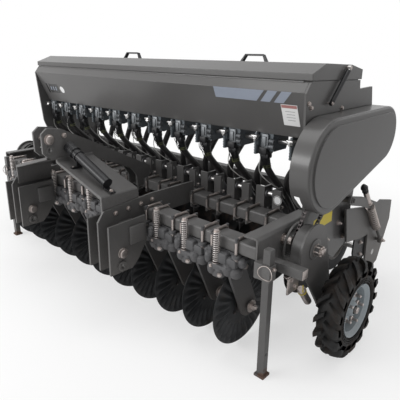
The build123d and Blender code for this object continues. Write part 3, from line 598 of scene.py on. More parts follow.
for row in rows:
    middle = row + clamp_shift
    for x in (middle - bolt_gap / 2, middle + bolt_gap / 2):
        fixings.sweep(eased([(x, front_bar - reach, foot), (x, front_bar - reach, top), (x, front_bar + reach, top),
                             (x, front_bar + reach, foot)], 0.016), ubolt_r, 12)
        for y in (front_bar - reach, front_bar + reach):
            fixings.disc(0.0125, 0.0022, Matrix.Translation((x, y, bar_low - 0.0168)))
            fixings.turn([(0.0115, 0), (0.0115, 0.009), (0.010, 0.010)],
                         Matrix.Translation((x, y, bar_low - 0.0272)), 6, start=random.random())
    castings.bar((row - 0.030, toe_y - 0.016, 0.378), (row + 0.034, toe_y + 0.022, 0.4035), 0.009)
    castings.bar((row - 0.014, toe_y - 0.010, 0.345), (row + 0.024, toe_y + 0.016, 0.385), 0.009)
    castings.bar((middle - 0.066, -0.470, 0.398), (middle + 0.068, -0.436, 0.440), 0.012)
    castings.bar((middle - 0.020, -0.476, 0.405), (middle + 0.028, -0.440, 0.452), 0.010)
    for dx, dy, dz, wide, tall in lumps:
        castings.turn([(wide * 0.5, -tall), (wide * 0.9, -tall * 0.7), (wide, 0), (wide * 0.9, tall * 0.7),
                       (wide * 0.5, tall)], aim((row + dx, pivot_y + dy, pivot_z + dz), (0.25, -0.35, 1)), 16)
    for x in (middle - bolt_gap / 2, middle + bolt_gap / 2):
        castings.turn([(0.011, -0.013), (0.017, -0.011), (0.017, 0.000), (0.012, 0.002)],
                      Matrix.Translation((x, front_bar - bar_half - ubolt_r, bar_low - 0.0030)), 20)
    castings.turn([(0.024, -0.012), (0.026, -0.002), (0.022, 0.014), (0.013, 0.018)],
                  aim((row + arm_out + 0.014, pivot_y, pivot_z), (1, 0, 0)), 28)
    fixings.bolt((row + arm_out + 0.037, pivot_y, pivot_z), (1, 0, 0), 0.0105)
    fixings.bolt((row + 0.030, -0.484, 0.366), (0.7, -0.7, 0), 0.0070)
    fixings.bolt((row - 0.012, -0.486, 0.392), (0.2, -0.9, 0), 0.0055)
    fixings.turn([(0.027, 0), (0.027, 0.003), (0.019, 0.0035), (0.019, 0.006)],
                 aim((row + arm_out + 0.012, spindle_y, spindle_z), (1, 0, 0)), 28)
    fixings.bolt((row + arm_out + 0.018, spindle_y, spindle_z), (1, 0, 0), 0.0135, 0.007)
castings.done("coulter_castings", casting)
fixings.done("coulter_fixings", zinc)


# Down-pressure springs: closely wound zinc-plated coils on a dark core rod, standing in front of the
# toolbar on each casting's toe, with a washer at the foot and a washer and nut over the top.
spring_y, spring_low, spring_high, coil_r, wire_r = -0.470, 0.404, 0.528, 0.0128, 0.0021
coil_turns, coil_steps = 14, 196
coils, rods, cores = Forge(), Forge(), Forge()
for row in rows:
    x = row + 0.001
    line = []
    for k in range(coil_steps + 1):
        t = k / coil_steps
        a = tau * coil_turns * t
        line.append((x + coil_r * cos(a), spring_y + coil_r * sin(a),
                     spring_low + 0.003 + (spring_high - spring_low - 0.004) * t))
    coils.sweep(line, wire_r, 6)
    cores.sweep([(x, spring_y, spring_low - 0.004), (x, spring_y, spring_high + 0.010)], 0.0055, 10)
    rods.disc(0.016, 0.003, Matrix.Translation((x, spring_y, spring_low)))
    rods.disc(0.0135, 0.0025, Matrix.Translation((x, spring_y, spring_high)))
    rods.turn([(0.0095, 0), (0.0095, 0.007), (0.008, 0.008)],
              Matrix.Translation((x, spring_y, spring_high + 0.0025)), 6)
spring_wire = plated("spring_zinc", (0.60, 0.56, 0.54), 0.25)
for piece in (coils.done("coulter_coils", spring_wire, smooth=60), rods.done("spring_rods", zinc),
              cores.done("spring_cores", blackened)):
    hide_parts("coulter_springs")


# Row carriers: bent face plates behind the rear toolbar, drawn on by two U-bolts, with a bright greased
# pin through them for the drag arm. A blank round tag with a dark rim sits on the last row's plate.
unit_shift, face_gap = -0.041, 0.042
drag_y, drag_z = -0.062, 0.567
fixings, pins = Forge(), Forge()
drag_pin = Matrix.Translation((0, drag_y, drag_z)) @ Matrix.Rotation(radians(90), 4, "Y")
for row in rows:
    x = row + unit_shift
    left, right = x - face_gap / 2, x + face_gap / 2
    for bolt_x in (left - 0.0285, right + 0.028):
        front, back = rear_bar - bar_half - ubolt_r - 0.0002, rear_bar + bar_half + 0.038
        low, high = bar_low - ubolt_r - 0.0001, bar_top + ubolt_r + 0.0001
        fixings.sweep(eased([(bolt_x, back, high), (bolt_x, front, high), (bolt_x, front, low),
                             (bolt_x, back, low)], 0.016), ubolt_r, 12)
        for z in (low, high):
            fixings.disc(0.0125, 0.002, aim((bolt_x, rear_bar + bar_half + 0.0105, z), (0, 1, 0)))
            fixings.disc(0.0115, 0.010, aim((bolt_x, rear_bar + bar_half + 0.0125, z), (0, 1, 0)), 6)
    pins.turn([(0.0125, left - 0.012), (0.0135, left - 0.010), (0.0135, left + 0.001), (0.0112, left + 0.001),
               (0.0112, right + 0.010), (0.0135, right + 0.010), (0.0135, right + 0.020),
               (0.0115, right + 0.023)], drag_pin)
    pins.turn([(0.0105, left - 0.035), (0.012, left - 0.033), (0.012, left - 0.010)], drag_pin)
fixings.done("row_u_bolts", zinc)
pins.done("row_pins", bright)
tag_x, tag_y, tag_z = rows[0] + unit_shift + face_gap / 2 + 0.026, -0.0845, 0.553
forge, rim = Forge(), Forge()
forge.disc(0.0205, 0.0006, aim((tag_x, tag_y, tag_z), (0, -1, 0)), 32)
forge.done("row_tag", white_vinyl)
rim.ring([(0.0165, 0), (0.0188, 0), (0.0188, 0.0004), (0.0165, 0.0004)],
         aim((tag_x, tag_y - 0.0006, tag_z), (0, -1, 0)), 32)
rim.done("row_tag_rim", vinyl("dark_rim_vinyl", (0.05, 0.05, 0.05)))


# Seed meters: die-cast housings hung under the box on one shaft, each with a bracket screwed to the
# floor, two adjusting knurls, a ribbed rubber boot and a spray of thin wires held by cable ties.
alloy = plated("cast_alloy", (0.20, 0.21, 0.22), 0.40)
slate = enamel("slate_bracket_coat", (0.060, 0.070, 0.078), 0.42, 0.2, 0.1)
rubber = moulded("black_rubber", (0.009, 0.009, 0.010), 0.40, 0.25)
paint(slate, "seed_meters")
paint(bright, "meter_shaft", "press_axle", "strut_rod_right", "strut_rod_left")
meter_shift, last_shift, floor_z = -0.028, 0.012, 0.842
cup_foot, cup_way = Vector((-0.046, -0.113, 0.734)), Vector((0, 0.30, -0.954)).normalized()
wires_each, wire_r, cable_r, cable_odds = 7, 0.0014, 0.0019, 0.7
housings, brackets, boots, wires, cables, ties, screws = [Forge() for _ in range(7)]


def stray(low, high):
    """How far a thin wire strays from its place."""
    return random.uniform(low, high)


for row in [rows[0] + row_pitch] + rows:
    x = row + meter_shift
    if row < rows[-1] + 0.01:
        x += last_shift
    else:
        brackets.bar((x - 0.052, -0.152, 0.752), (x - 0.040, -0.106, floor_z - 0.001), 0.003)
        brackets.bar((x - 0.057, -0.148, 0.790), (x - 0.036, -0.112, 0.826), 0.005)
        for k in range(7):
            brackets.disc(0.0050, 0.0020, aim((x - 0.046, -0.1521, 0.758 + 0.011 * k), (0, -1, 0)), 10)
    screws.bar((x - 0.060, -0.168, floor_z - 0.018), (x - 0.030, -0.142, floor_z - 0.010), 0.002)
    screws.bolt((x - 0.045, -0.156, floor_z - 0.020), (0, -0.4, -1), 0.0105, 0.004)
    if row > rows[0] + 0.01:
        continue
    housings.bar((x - 0.020, -0.151, 0.782), (x + 0.014, -0.104, floor_z - 0.002), 0.006)
    housings.bar((x - 0.014, -0.156, 0.790), (x + 0.006, -0.148, 0.830), 0.003)
    housings.turn([(0.030, -0.026), (0.035, -0.022), (0.035, 0.012), (0.030, 0.016)],
                  aim((x + 0.010, -0.108, 0.800), (1, 0, 0)), 28)
    for z in (0.790, 0.812):
        knurl = aim((x + 0.014, -0.138, z), (1, -0.25, 0))
        housings.turn([(0.0080, 0), (0.0105, 0.003), (0.0105, 0.024), (0.008, 0.027)], knurl, 20)
        for k in range(3):
            housings.turn([(0.0114, 0.005 + 0.007 * k), (0.0114, 0.008 + 0.007 * k)], knurl, 20)
    foot = Vector((row, 0, 0)) + cup_foot
    place = aim(foot, cup_way)
    boots.turn([(0.0190, -0.044), (0.0205, -0.038), (0.0178, -0.036), (0.0205, -0.030), (0.0178, -0.028),
                (0.0205, -0.022), (0.0178, -0.020), (0.0200, -0.014), (0.0180, -0.012), (0.0180, -0.002),
                (0.0172, 0.006), (0.0168, 0.020), (0.0160, 0.026)], place, 28)
    boots.bar((x - 0.034, -0.150, 0.752), (x + 0.008, -0.106, 0.786), 0.009)
    boots.bar((x - 0.024, -0.146, 0.738), (x + 0.014, -0.112, 0.760), 0.007)
    for k in range(wires_each):
        start = Vector((x + stray(-0.034, 0.014), -0.148 + stray(-0.004, 0.01), 0.766 + stray(-0.006, 0.012)))
        end = foot + cup_way * stray(0.030, 0.062) + Vector((stray(-0.014, 0.014), -0.0175, 0))
        bulge = (start + end) / 2 + Vector((stray(-0.026, 0.026), -stray(0.006, 0.022), stray(-0.01, 0.02)))
        wires.sweep(eased([start, bulge, end], 0.04, 8), wire_r, 6)
    if random.random() < cable_odds:
        cables.sweep(eased([foot + Vector(step) for step in (
            (-0.014, -0.016, 0.010), (-0.022, -0.020, -0.060), (0.010, 0.020, -0.110), (0.022, 0.090, -0.150),
            (0.030, 0.120, -0.200))], 0.05, 8), cable_r, 6)
    for k in range(2):
        ties.ring([(0.0162, -0.0018), (0.0178, -0.0018), (0.0178, 0.0018), (0.0162, 0.0018)],
                  place @ Matrix.Translation((0, 0, 0.030 + 0.010 * k)) @ Matrix.Rotation(0.12 * k, 4, "X"), 24)
        ties.bar((-0.004, -0.0205, 0.027 + 0.010 * k), (0.004, -0.0165, 0.033 + 0.010 * k), 0.001, place)
housings.done("meter_housings", alloy)
brackets.done("meter_brackets", slate)
boots.done("meter_boots", rubber)
wires.done("meter_wires", rubber)
cables.done("sensor_cables", vinyl("pale_cable", (0.50, 0.50, 0.48)))
ties.done("cable_ties", vinyl("olive_tie", (0.10, 0.11, 0.045)))
screws.done("meter_screws", bright)


# Seed hoses: ribbed black rubber from the meter boots to the openers. The wall has shallow rings about
# six millimetres apart, and a dusty bloom lies on it in patches.
def hose_rubber():
    material, shader, place = new_finish("hose_rubber")
    cloud = noise(place, 22.0, 4.0)
    speck = noise(place, 200.0, 3.0)
    rings = place.add("TexWave", {"bands_direction": "Z", "wave_profile": "SIN"},
                      {"Vector": place, "Scale": 52.0, "Distortion": 0.6, "Detail": 1.0, "Detail Scale": 2.0},
                      out="Fac")
    feed(shader, "Base Color", place.add("ValToRGB", {"stops": [
        (0.35, (0.010, 0.009, 0.010, 1)), (0.65, (0.020, 0.018, 0.018, 1)), (0.80, (0.045, 0.036, 0.030, 1))]},
        {"Fac": cloud}))
    feed(shader, "Roughness", 0.36 + cloud * 0.2)
    bump(shader, 0.55, 0.0014, rings + speck * 0.15)
    return material


paint(hose_rubber(), "seed_tubes", "rear_tubes")


# Ground wheels: narrow lug tyres on pressed steel rims, one at each end. The tread's bars lean to a
# point at the middle and run down over the shoulder. Soil has dried brown between them.
def tyre_rubber():
    material, shader, place = new_finish("lug_tyre_rubber")
    cloud = noise(place, 16.0, 6.0, 0.7)
    speck = noise(place, 170.0, 4.0)
    dust = mask(cloud, 0.46, 0.70)
    dip = place.add("ValToRGB", {"stops": [(0.40, (1, 1, 1, 1)), (0.50, (0, 0, 0, 1))]},
                    {"Fac": place.add("NewGeometry", {}, {}, out="Pointiness")})
    feed(shader, "Base Color", mix(dust * 0.30 + dip * 0.4, (0.0060, 0.0060, 0.0062, 1), (0.070, 0.046, 0.032, 1)))
    feed(shader, "Roughness", 0.55 + dust * 0.3)
    feed(shader, "Specular IOR Level", 0.3)
    bump(shader, 0.3, 0.001, speck + cloud * 0.6)
    return material


tread = tyre_rubber()
rim_coat = enamel("pale_rim_coat", (0.30, 0.345, 0.375), 0.32, 0.5, 0.1)
tyre_low, tyre_high = [Vector(c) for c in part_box("tyre_right")]
w = (tyre_high.x - tyre_low.x) / 2                       # half the tyre's width
crown_r, shoulder_r, bead_r, tip_r, lugs, wheel_nuts = 0.184, 0.172, 0.106, 0.2036, 17, 5
for side, word in ((1, "right"), (-1, "left")):
    out = Matrix.Translation(axis_of("wheel_spin_" + word)) @ Matrix.Rotation(radians(90 * side), 4, "Y")
    forge = Forge()
    wall = [(bead_r, -w + 0.016), (bead_r + 0.010, -w + 0.010), (0.140, -w + 0.002), (shoulder_r - 0.008, -w + 0.006),
            (shoulder_r, -w + 0.014), (crown_r - 0.004, -w * 0.45), (crown_r, 0.0)]
    seat = [(bead_r - 0.006, w - 0.018), (bead_r - 0.006, -w + 0.018)]
    forge.ring(wall + [(r, -z) for r, z in wall[-2::-1]] + seat, out, 96)
    for k in range(2 * lugs):
        half = 1 if k % 2 else -1
        rings = []
        for t in range(8):
            u = t / 7
            z = half * (0.002 + (w - 0.003) * min(1.0, u * 1.18))
            drop = max(0.0, u - 0.80) / 0.20
            base = (crown_r - 0.004 - 0.010 * u * u) * (1 - drop) + (shoulder_r - 0.024) * drop
            tall = (0.021 - 0.003 * u) * (1 - drop) + 0.006 * drop
            angle = tau * k / (2 * lugs) + 0.30 * u ** 1.15
            width = 0.0105 + 0.003 * u
            low, high = base - 0.004, min(tip_r, base + tall)
            corners = [(r, angle + spread * width / r) for r, spread in ((low, 1.25), (high, 0.8), (high, -0.8),
                                                                         (low, -1.25))]
            rings.append([(r * cos(a), r * sin(a), z) for r, a in corners])
        forge.grid(rings, caps=True, place=out)
    for r in (0.118, 0.126, 0.134):
        for s in (1, -1):
            forge.ring([(r, s * (w - 0.006)), (r + 0.003, s * (w - 0.006)), (r + 0.003, s * (w - 0.0025)),
                        (r, s * (w - 0.0025))], out, 64)
    tyre = forge.done("lug_tyre_" + word, tread, "wheel_" + word, 40)
    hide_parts("tyre_" + word)
    forge = Forge()
    forge.ring([(0.034, 0.008), (0.060, 0.010), (0.074, 0.004), (0.086, -0.012), (0.092, -0.012), (0.0945, w - 0.022),
                (0.1075, w - 0.012), (0.1095, w - 0.005), (0.1085, w - 0.003), (0.1035, w - 0.010),
                (0.0915, w - 0.018), (0.0885, -0.008), (0.084, -0.008), (0.071, 0.008), (0.058, 0.014),
                (0.034, 0.012)], out, 72)
    forge.ring([(0.0915, -0.012), (0.0945, -w + 0.022), (0.1075, -w + 0.012), (0.1095, -w + 0.005),
                (0.1065, -w + 0.003), (0.0885, -w + 0.020)], out, 72)
    forge.turn([(0.036, -w + 0.004), (0.040, -w + 0.010), (0.040, 0.006), (0.034, 0.016), (0.026, 0.030),
                (0.022, 0.034)], out, 40)
    rim = forge.done("dished_rim_" + word, rim_coat, "wheel_" + word)
    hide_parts("rim_" + word)
    forge = Forge()
    for k in range(wheel_nuts):
        a = tau * k / wheel_nuts + 0.3
        place = out @ Matrix.Translation((0.056 * cos(a), 0.056 * sin(a), 0.012))
        forge.turn([(0.013, 0), (0.013, 0.009), (0.010, 0.011)], place, 6)
        forge.turn([(0.006, 0.010), (0.006, 0.030), (0.004, 0.032)], place, 12)
    forge.turn([(0.020, 0.031), (0.020, 0.034), (0.0145, 0.034), (0.0145, 0.044), (0.012, 0.046)], out, 6)
    forge.done("wheel_nuts_" + word, zinc, "wheel_" + word)


# Wheel arms: a hub drum on the frame with the arm plate hung from it, held by a castle nut and split
# pin. Below hang a stop bar of square tube, a plated bracket and a short bright pipe with a yellow tie.
swing_y, swing_z, drum_out = -0.227, 0.462, 1.095
axle_y, axle_z, stop_y, stop_z, beam_face = -0.102, 0.204, -0.284, 0.494, 0.9945
forge, steel, gold = Forge(), Forge(), Forge()
for side in (1, -1):
    nut = aim((side * (drum_out + 0.0002), swing_y, swing_z), (side, 0, 0))
    forge.turn([(0.040, 0), (0.040, 0.004), (0.034, 0.006)], nut, 32)
    steel.turn([(0.0255, 0.006), (0.0255, 0.008), (0.0215, 0.008), (0.0215, 0.024), (0.020, 0.026)], nut, 6)
    for k in range(6):
        steel.bar((0.010, -0.0040, 0.024), (0.0205, 0.0040, 0.033), 0.001, nut @ Matrix.Rotation(tau * k / 6, 4, "Z"))
    steel.turn([(0.0145, 0.02), (0.0145, 0.0375), (0.012, 0.039)], nut, 20)
    steel.sweep([nut @ Vector((-0.028, 0.002, 0.029)), nut @ Vector((0.030, 0.000, 0.029))], 0.0021, 8)
    forge.turn([(0.036, 0), (0.036, 0.010), (0.030, 0.022), (0.026, 0.024)],
               aim((side * drum_out, axle_y, axle_z), (side, 0, 0)), 32)
    steel.bolt((side * beam_face, stop_y, stop_z), (side, 0, 0), 0.0165)
    steel.turn([(0.015, 0), (0.015, 0.030), (0.013, 0.033)], aim((side * 1.0, stop_y, stop_z), (side, 0, 0)), 24)
    for z in (0.42, 0.40):
        steel.bolt((side * beam_face, -0.34, z), (side, 0, 0), 0.008)
stop_in, stop_out, bracket_x = 1.061, 1.150, 1.092
forge.bar((stop_in, -0.405, 0.4225), (stop_out, -0.369, 0.4585), 0.003)
forge.bar((beam_face, -0.4045, 0.4235), (stop_in + 0.01, -0.3695, 0.4575), 0.003)
steel.bar((stop_out - 0.0005, -0.4035, 0.424), (stop_out + 0.0015, -0.3705, 0.457), 0.0005)
steel.bar((1.086, -0.392, 0.338), (bracket_x, -0.322, 0.410), 0.001)
steel.bar((1.070, -0.392, 0.400), (bracket_x, -0.330, 0.4065), 0.001)
for y, z in ((-0.372, 0.390), (-0.345, 0.358)):
    steel.bolt((bracket_x, y, z), (1, 0, 0), 0.006)
pipe_top, pipe_end = Vector((1.090, -0.291, 0.318)), Vector((1.090, -0.232, 0.243))
steel.sweep([pipe_top, pipe_end], 0.015, 20)
steel.sweep([pipe_top + (pipe_top - pipe_end).normalized() * 0.012, pipe_top], [0.011, 0.0165], 20)
gold.sweep(eased([(1.100, -0.300, 0.345), (1.108, -0.312, 0.330), (1.104, -0.300, 0.312), (1.096, -0.290, 0.322)],
                 0.02), 0.0022, 8)
gold.ring([(0.0152, -0.002), (0.0172, -0.002), (0.0172, 0.002), (0.0152, 0.002)],
          aim(pipe_top.lerp(pipe_end, 0.12), pipe_end - pipe_top), 24)
forge.done("stop_bar", frame_coat)
steel.done("wheel_arm_fixings", zinc)
gold.done("yellow_tie", vinyl("yellow_tie_plastic", (0.45, 0.36, 0.05)))


# Openers and press wheels: each row has two flat ground discs that nearly meet at the front, on one
# bolt, then a domed rubber wheel on the gang's through axle. Soil keeps the steel bright at its rim.
def worn_steel():
    material, shader, place = new_finish("soil_worn_steel")
    cloud = noise(place, 11.0, 6.0, 0.7)
    speck = noise(place, 150.0, 3.0)
    rust = mask(cloud, 0.50, 0.66)
    feed(shader, "Base Color", mix(rust * 0.7, (0.030, 0.031, 0.033, 1), (0.075, 0.036, 0.018, 1)))
    feed(shader, "Metallic", 0.8 - rust * 0.7)
    feed(shader, "Roughness", 0.34 + rust * 0.35 + speck * 0.08)
    bump(shader, 0.15, 0.0006, speck + rust * 0.5)
    return material


opener_y, opener_z, opener_r, opener_apart, opener_toe = 0.185, 0.158, 0.150, 0.019, 5
forge, bolts = Forge(), Forge()
for row in rows:
    for side in (-1, 1):
        place = (Matrix.Translation((row + side * opener_apart, opener_y, opener_z))
                 @ Matrix.Rotation(radians(-opener_toe * side), 4, "Z") @ Matrix.Rotation(radians(90 * side), 4, "Y"))
        way = place.to_3x3() @ Vector((0, 0, 1))
        forge.ring([(0.0115, -0.009), (0.024, -0.009), (0.026, -0.002), (0.132, -0.002), (opener_r, 0.0012),
                    (opener_r, 0.002), (0.060, 0.002), (0.046, 0.010), (0.026, 0.014), (0.0115, 0.014)], place, 72)
        bolts.bolt(place @ Vector((0, 0, 0.012)), way, 0.011)
        for k in range(4):
            a = tau * k / 4 + 0.4
            spot = place @ Vector((0.040 * cos(a), 0.040 * sin(a), 0.010))
            bolts.turn([(0.005, 0), (0.005, 0.004), (0.003, 0.005)], aim(spot, way), 10)
for piece in (forge.done("flat_opener_discs", worn_steel(), smooth=30), bolts.done("opener_bolts", blackened)):
    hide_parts("opener_discs")
press_y, press_r, press_half = 0.524, 0.172, 0.023
press_rubber = moulded("press_wheel_rubber", (0.016, 0.016, 0.017), 0.55, 0.3)
tyres, centres = Forge(), Forge()
arcs = [radians(90 - 15 * k) for k in range(13)]
dome = [(press_r - 0.018 * (1 - cos(t)), press_half * sin(t)) for t in arcs]
for row in rows:
    place = Matrix.Translation((row, press_y, press_r)) @ Matrix.Rotation(radians(90), 4, "Y")
    tyres.ring([(0.108, press_half - 0.004), (0.128, press_half)] + dome
               + [(0.128, -press_half), (0.108, -press_half + 0.004)], place, 72)
    centres.ring([(0.0152, -press_half), (0.030, -press_half), (0.032, -0.006), (0.090, -0.003), (0.100, -0.016),
                  (0.110, -0.018), (0.110, 0.018), (0.100, 0.016), (0.090, 0.003), (0.032, 0.006),
                  (0.030, press_half), (0.0152, press_half)], place, 48)
    for k in range(4):
        a = tau * k / 4 + row
        for side in (1, -1):
            spot = place @ Vector((0.062 * cos(a), 0.062 * sin(a), side * 0.0045))
            centres.turn([(0.0085, 0), (0.0085, 0.006), (0.007, 0.007)], aim(spot, (side, 0, 0)), 6)
for piece in (tyres.done("domed_press_tyres", press_rubber, "press_gang"),
              centres.done("press_wheel_centres", frame_coat, "press_gang")):
    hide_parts("press_wheels")


# Depth adjusters: at each end a painted link plate on a pin, with a threaded rod through it, a black knob on
# top and a zinc spring between two collars. The rod's foot is pinned to the press-wheel gang's side arm,
# which carries a moulded black gusset.
link = eased([(0.105, 0.560, 0), (0.112, 0.578, 0), (0.250, 0.543, 0), (0.420, 0.476, 0), (0.500, 0.442, 0),
              (0.498, 0.418, 0), (0.400, 0.438, 0), (0.250, 0.498, 0), (0.120, 0.536, 0), (0.104, 0.550, 0)], 0.014, 4)
link = [(p.x, p.y) for p in link]
link_half, rod_thread = 0.005, 0.0015
pin_y, pin_z, foot_y, foot_z = 0.129, 0.556, 0.545, 0.240
spring_from, spring_to, spring_r, spring_wire_r, spring_turns, spring_steps = 0.168, 0.338, 0.0175, 0.0034, 10, 176
gusset = [(0.300, 0.235), (0.302, 0.300), (0.330, 0.345), (0.460, 0.345), (0.455, 0.190), (0.425, 0.165),
          (0.330, 0.165)]
gusset_thick = 0.007
parts, coils, knobs, collars, gussets = [Forge() for _ in range(5)]
for side, face in ((1, 1.038), (-1, 1.000)):
    mid, wall = face + 0.022, face - 0.034
    x = side * mid
    parts.turn([(0.014, 0), (0.014, mid + 0.008 - wall), (0.012, mid + 0.010 - wall)],
               aim((side * (wall + 0.0003), pin_y, pin_z), (side, 0, 0)), 28)
    parts.bolt((side * (mid + 0.008), pin_y, pin_z), (side, 0, 0), 0.0095)
    parts.plate(link, x - link_half, 2 * link_half)
    top, foot = Vector((x, 0.242, 0.594)), Vector((x, 0.548, 0.236))
    rod = aim(top, (foot - top).normalized())
    parts.turn([(0.0068 if k % 2 else 0.0058, rod_thread * k) for k in range(int((foot - top).length / rod_thread))],
               rod, 12)
    knobs.turn([(0.003, -0.012), (0.009, -0.004), (0.0165, 0.010), (0.0165, 0.018), (0.011, 0.026), (0.0145, 0.034),
                (0.0145, 0.042), (0.010, 0.046)], rod, 8)
    collars.turn([(0.0105, 0.046), (0.0105, 0.128), (0.015, 0.129), (0.015, 0.136)], rod, 20)
    for k in range(13):
        at = 0.050 + 0.006 * k
        collars.ring([(0.0104, at), (0.0122, at + 0.0015), (0.0122, at + 0.0035), (0.0104, at + 0.005)], rod, 20)
    for at in (spring_from - 0.004, spring_to):
        collars.turn([(0.021, at), (0.021, at + 0.004)], rod, 28)
    parts.turn([(0.013, spring_from - 0.016), (0.013, spring_from - 0.004)], rod, 6)
    parts.turn([(0.013, spring_to + 0.004), (0.013, spring_to + 0.014)], rod, 6)
    turned = [(tau * spring_turns * k / spring_steps, k / spring_steps) for k in range(spring_steps + 1)]
    coils.sweep([rod @ Vector((spring_r * cos(a), spring_r * sin(a),
                               spring_from + 0.003 + (spring_to - spring_from - 0.006) * t)) for a, t in turned],
                spring_wire_r, 8)
    parts.turn([(0.008, 0), (0.008, 0.032), (0.006, 0.033)],
               aim((side * (face + 0.0003), foot_y, foot_z), (side, 0, 0)), 20)
    parts.bar((x - 0.009, 0.532, 0.226), (x + 0.009, 0.558, 0.256), 0.003)
    collars.bolt((side * (face + 0.033), foot_y, foot_z), (side, 0, 0), 0.009, 0.006)
    wall_x = side * (face - 0.0105)
    gussets.plate(gusset, wall_x - side * gusset_thick, side * gusset_thick)
    for y, z in ((0.372, 0.272), (0.385, 0.205)):
        collars.bolt((wall_x, y, z), (side, 0, 0), 0.0085, 0.004)
parts = parts.done("adjuster_links", frame_coat)
coils = coils.done("adjuster_springs", zinc, smooth=60)
collars = collars.done("adjuster_collars", zinc)
gussets.done("press_arm_gussets", black_plastic)
knobs = knobs.done("adjuster_knobs", black_plastic)
for piece in (parts, coils, knobs, collars):
    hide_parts("depth_adjusters")


# Drive chain: a roller chain of five-eighths pitch from the hub's sprocket up to the meter shaft's, with
# pressed link plates on turned rollers. It is oiled, so the steel is dark with bright edges.
chain_x, chain_half, chain_pitch, roller_half = 1.032, 0.006, 0.015875, 0.0048
low, high = (-0.227, 0.462, 0.0535), (-0.008, 0.722, 0.0845)
gap = Vector((high[0] - low[0], high[1] - low[1]))
tilt = atan2(gap.y, gap.x)
spread = pi - atan2(sqrt(gap.length_squared - (high[2] - low[2]) ** 2), -(high[2] - low[2]))
run = []
for centre, start, end in ((high, tilt - spread, tilt + spread), (low, tilt + spread, tilt - spread + tau)):
    for k in range(61):
        a = start + (end - start) * k / 60
        run.append(Vector((centre[0] + centre[2] * cos(a), centre[1] + centre[2] * sin(a))))
run.append(run[0])
lengths = [0.0]
for p, q in zip(run, run[1:]):
    lengths.append(lengths[-1] + (q - p).length)
links = 2 * round(lengths[-1] / chain_pitch / 2)
spots, at = [], 0
for k in range(links):
    along = lengths[-1] * k / links
    while lengths[at + 1] < along:
        at += 1
    spots.append(run[at].lerp(run[at + 1], (along - lengths[at]) / (lengths[at + 1] - lengths[at])))
forge, wheels = Forge(), Forge()
for k in range(links):
    p, q = spots[k], spots[(k + 1) % links]
    roller = aim((chain_x, p.x, p.y), (1, 0, 0))
    forge.turn([(0.0050, -roller_half), (0.0050, roller_half)], roller, 10)
    forge.turn([(0.0022, -chain_half), (0.0022, chain_half)], roller, 8)
    angle = atan2((q - p).y, (q - p).x)
    reach = roller_half if k % 2 else 0.0034
    outline = []
    for end, base in ((q, angle - pi / 2), (p, angle + pi / 2)):
        for i in range(5):
            a = base + pi * i / 4
            outline.append((end.x + 0.0062 * cos(a), end.y + 0.0062 * sin(a)))
    for side in (1, -1):
        forge.plate(outline, chain_x + side * reach, side * 0.0011)
for centre, teeth in ((low, 21), (high, 33)):
    edge = []
    for k in range(teeth * 4):
        a = tau * k / (teeth * 4)
        r = centre[2] - 0.005 + (0.008 if k % 4 in (1, 2) else 0.0)
        edge.append((centre[0] + r * cos(a), centre[1] + r * sin(a)))
    wheels.plate(edge, chain_x - 0.0025, 0.005)
for piece in (forge.done("roller_chain", blackened), wheels.done("chain_sprockets", blackened)):
    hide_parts("drive_chain")
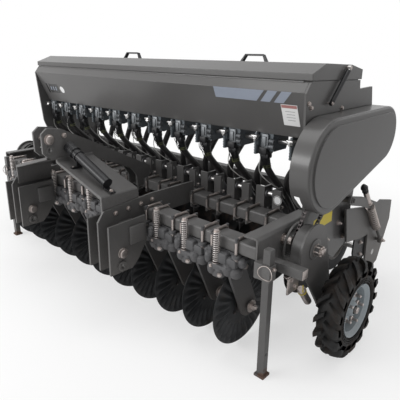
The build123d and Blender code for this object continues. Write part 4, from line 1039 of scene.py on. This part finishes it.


# Ends: screws through the end plates and the box's end flanges, the gas struts' ball studs, one yellow
# label left blank on the right plate, and the rear crossbar's bolts. Black discs in the end plates' holes are painted
# shade.
paint(zinc, "lid_studs", "strut_studs")
forge, hole_shades, label = Forge(), Forge(), Forge()
for side, face in ((1, 1.004), (-1, 0.966)):
    for y, z in ((0.144, 0.435), (0.209, 0.349), (0.036, 0.392)):
        forge.bolt((side * face, y, z), (side, 0, 0), 0.0105, 0.010)
    # black disc that paints the shade inside the end plate's hole
    hole_shades.disc(0.011, 0.0006, aim((side * face, 0.051, 0.387), (side, 0, 0)), 24)
for y, z in ((-0.200, 0.978), (-0.182, 0.962), (0.058, 0.942)):
    for side, face in ((1, 1.004), (-1, 0.904)):
        forge.bolt((side * face, y, z), (side, 0, 0), 0.0072)
for x in (-0.87, -0.4, 0.05, 0.535, 0.93):
    forge.bolt((x, 0.090, 0.553), (0, -1, 0), 0.0095, 0.006)
for x in (1.018, -0.918):
    for y, z in ((-0.059, 0.970), (0.063, 1.093)):
        forge.turn([(0.0065, -0.006), (0.009, -0.003), (0.009, 0.003), (0.0065, 0.006)],
                   aim((x, y, z), (1, 0, 0)), 16)
forge.done("end_screws", zinc)
hole_shades.done("end_plate_painted_hole_shade", black_print_and_hole_shade)
label.plate([(-0.080, 0.455), (0.080, 0.462), (0.077, 0.513), (-0.080, 0.506)], 1.0042, 0.0004)
label.done("yellow_label", vinyl("label_yellow", (0.66, 0.52, 0.03)))


# Parking stands: square tubes that slide in their sleeves and are held by a ring pin, with a welded foot.
# The paint is scraped off the leg's faces, and the foot is rusty. Black discs over the leg's pin hole are painted
# shade.
def scraped():
    material, shader, place = new_finish("scraped_stand_coat")
    cloud = noise(place, 20.0, 6.0, 0.75)
    bare = mask(cloud + low_down(place, 0.07, 0.34), 0.66, 0.74)
    feed(shader, "Base Color", mix(bare, (0.074, 0.072, 0.071, 1), (0.085, 0.050, 0.036, 1)))
    feed(shader, "Roughness", 0.36 + bare * 0.4)
    bump(shader, 0.3, 0.0006, cloud)
    return material


paint(scraped(), "stand_leg_right", "stand_leg_left")
leg_half, hole_z, pin_z = 0.014, 0.098, 0.450
for word, x, y in (("right", 1.041, -0.445), ("left", -0.892, -0.467)):
    hole_shades, rings = Forge(), Forge()
    for side in (1, -1):
        # black discs on both faces of the leg paint the shade inside its pin hole
        hole_shades.disc(0.0066, 0.0004, aim((x + side * leg_half, y, hole_z), (side, 0, 0)))
    hole_shades.done("stand_holes_" + word, black_print_and_hole_shade, "stand_" + word)
    pin = Vector((x, y, pin_z))
    rings.sweep([pin + Vector((-0.030, 0, 0)), pin + Vector((0.0305, 0, 0))], 0.0058, 12)
    rings.disc(0.0085, 0.004, aim(pin + Vector((0.0195, 0, 0)), (1, 0, 0)), 16)
    loop = [pin + Vector((0.004 + 0.029 * cos(tau * k / 40), -0.0235 - 0.004 * cos(tau * k / 20),
                          -0.014 + 0.026 * sin(tau * k / 40))) for k in range(41)]
    rings.sweep(loop, 0.0017, 8, caps=False)
    rings.done("stand_pin_" + word, zinc)
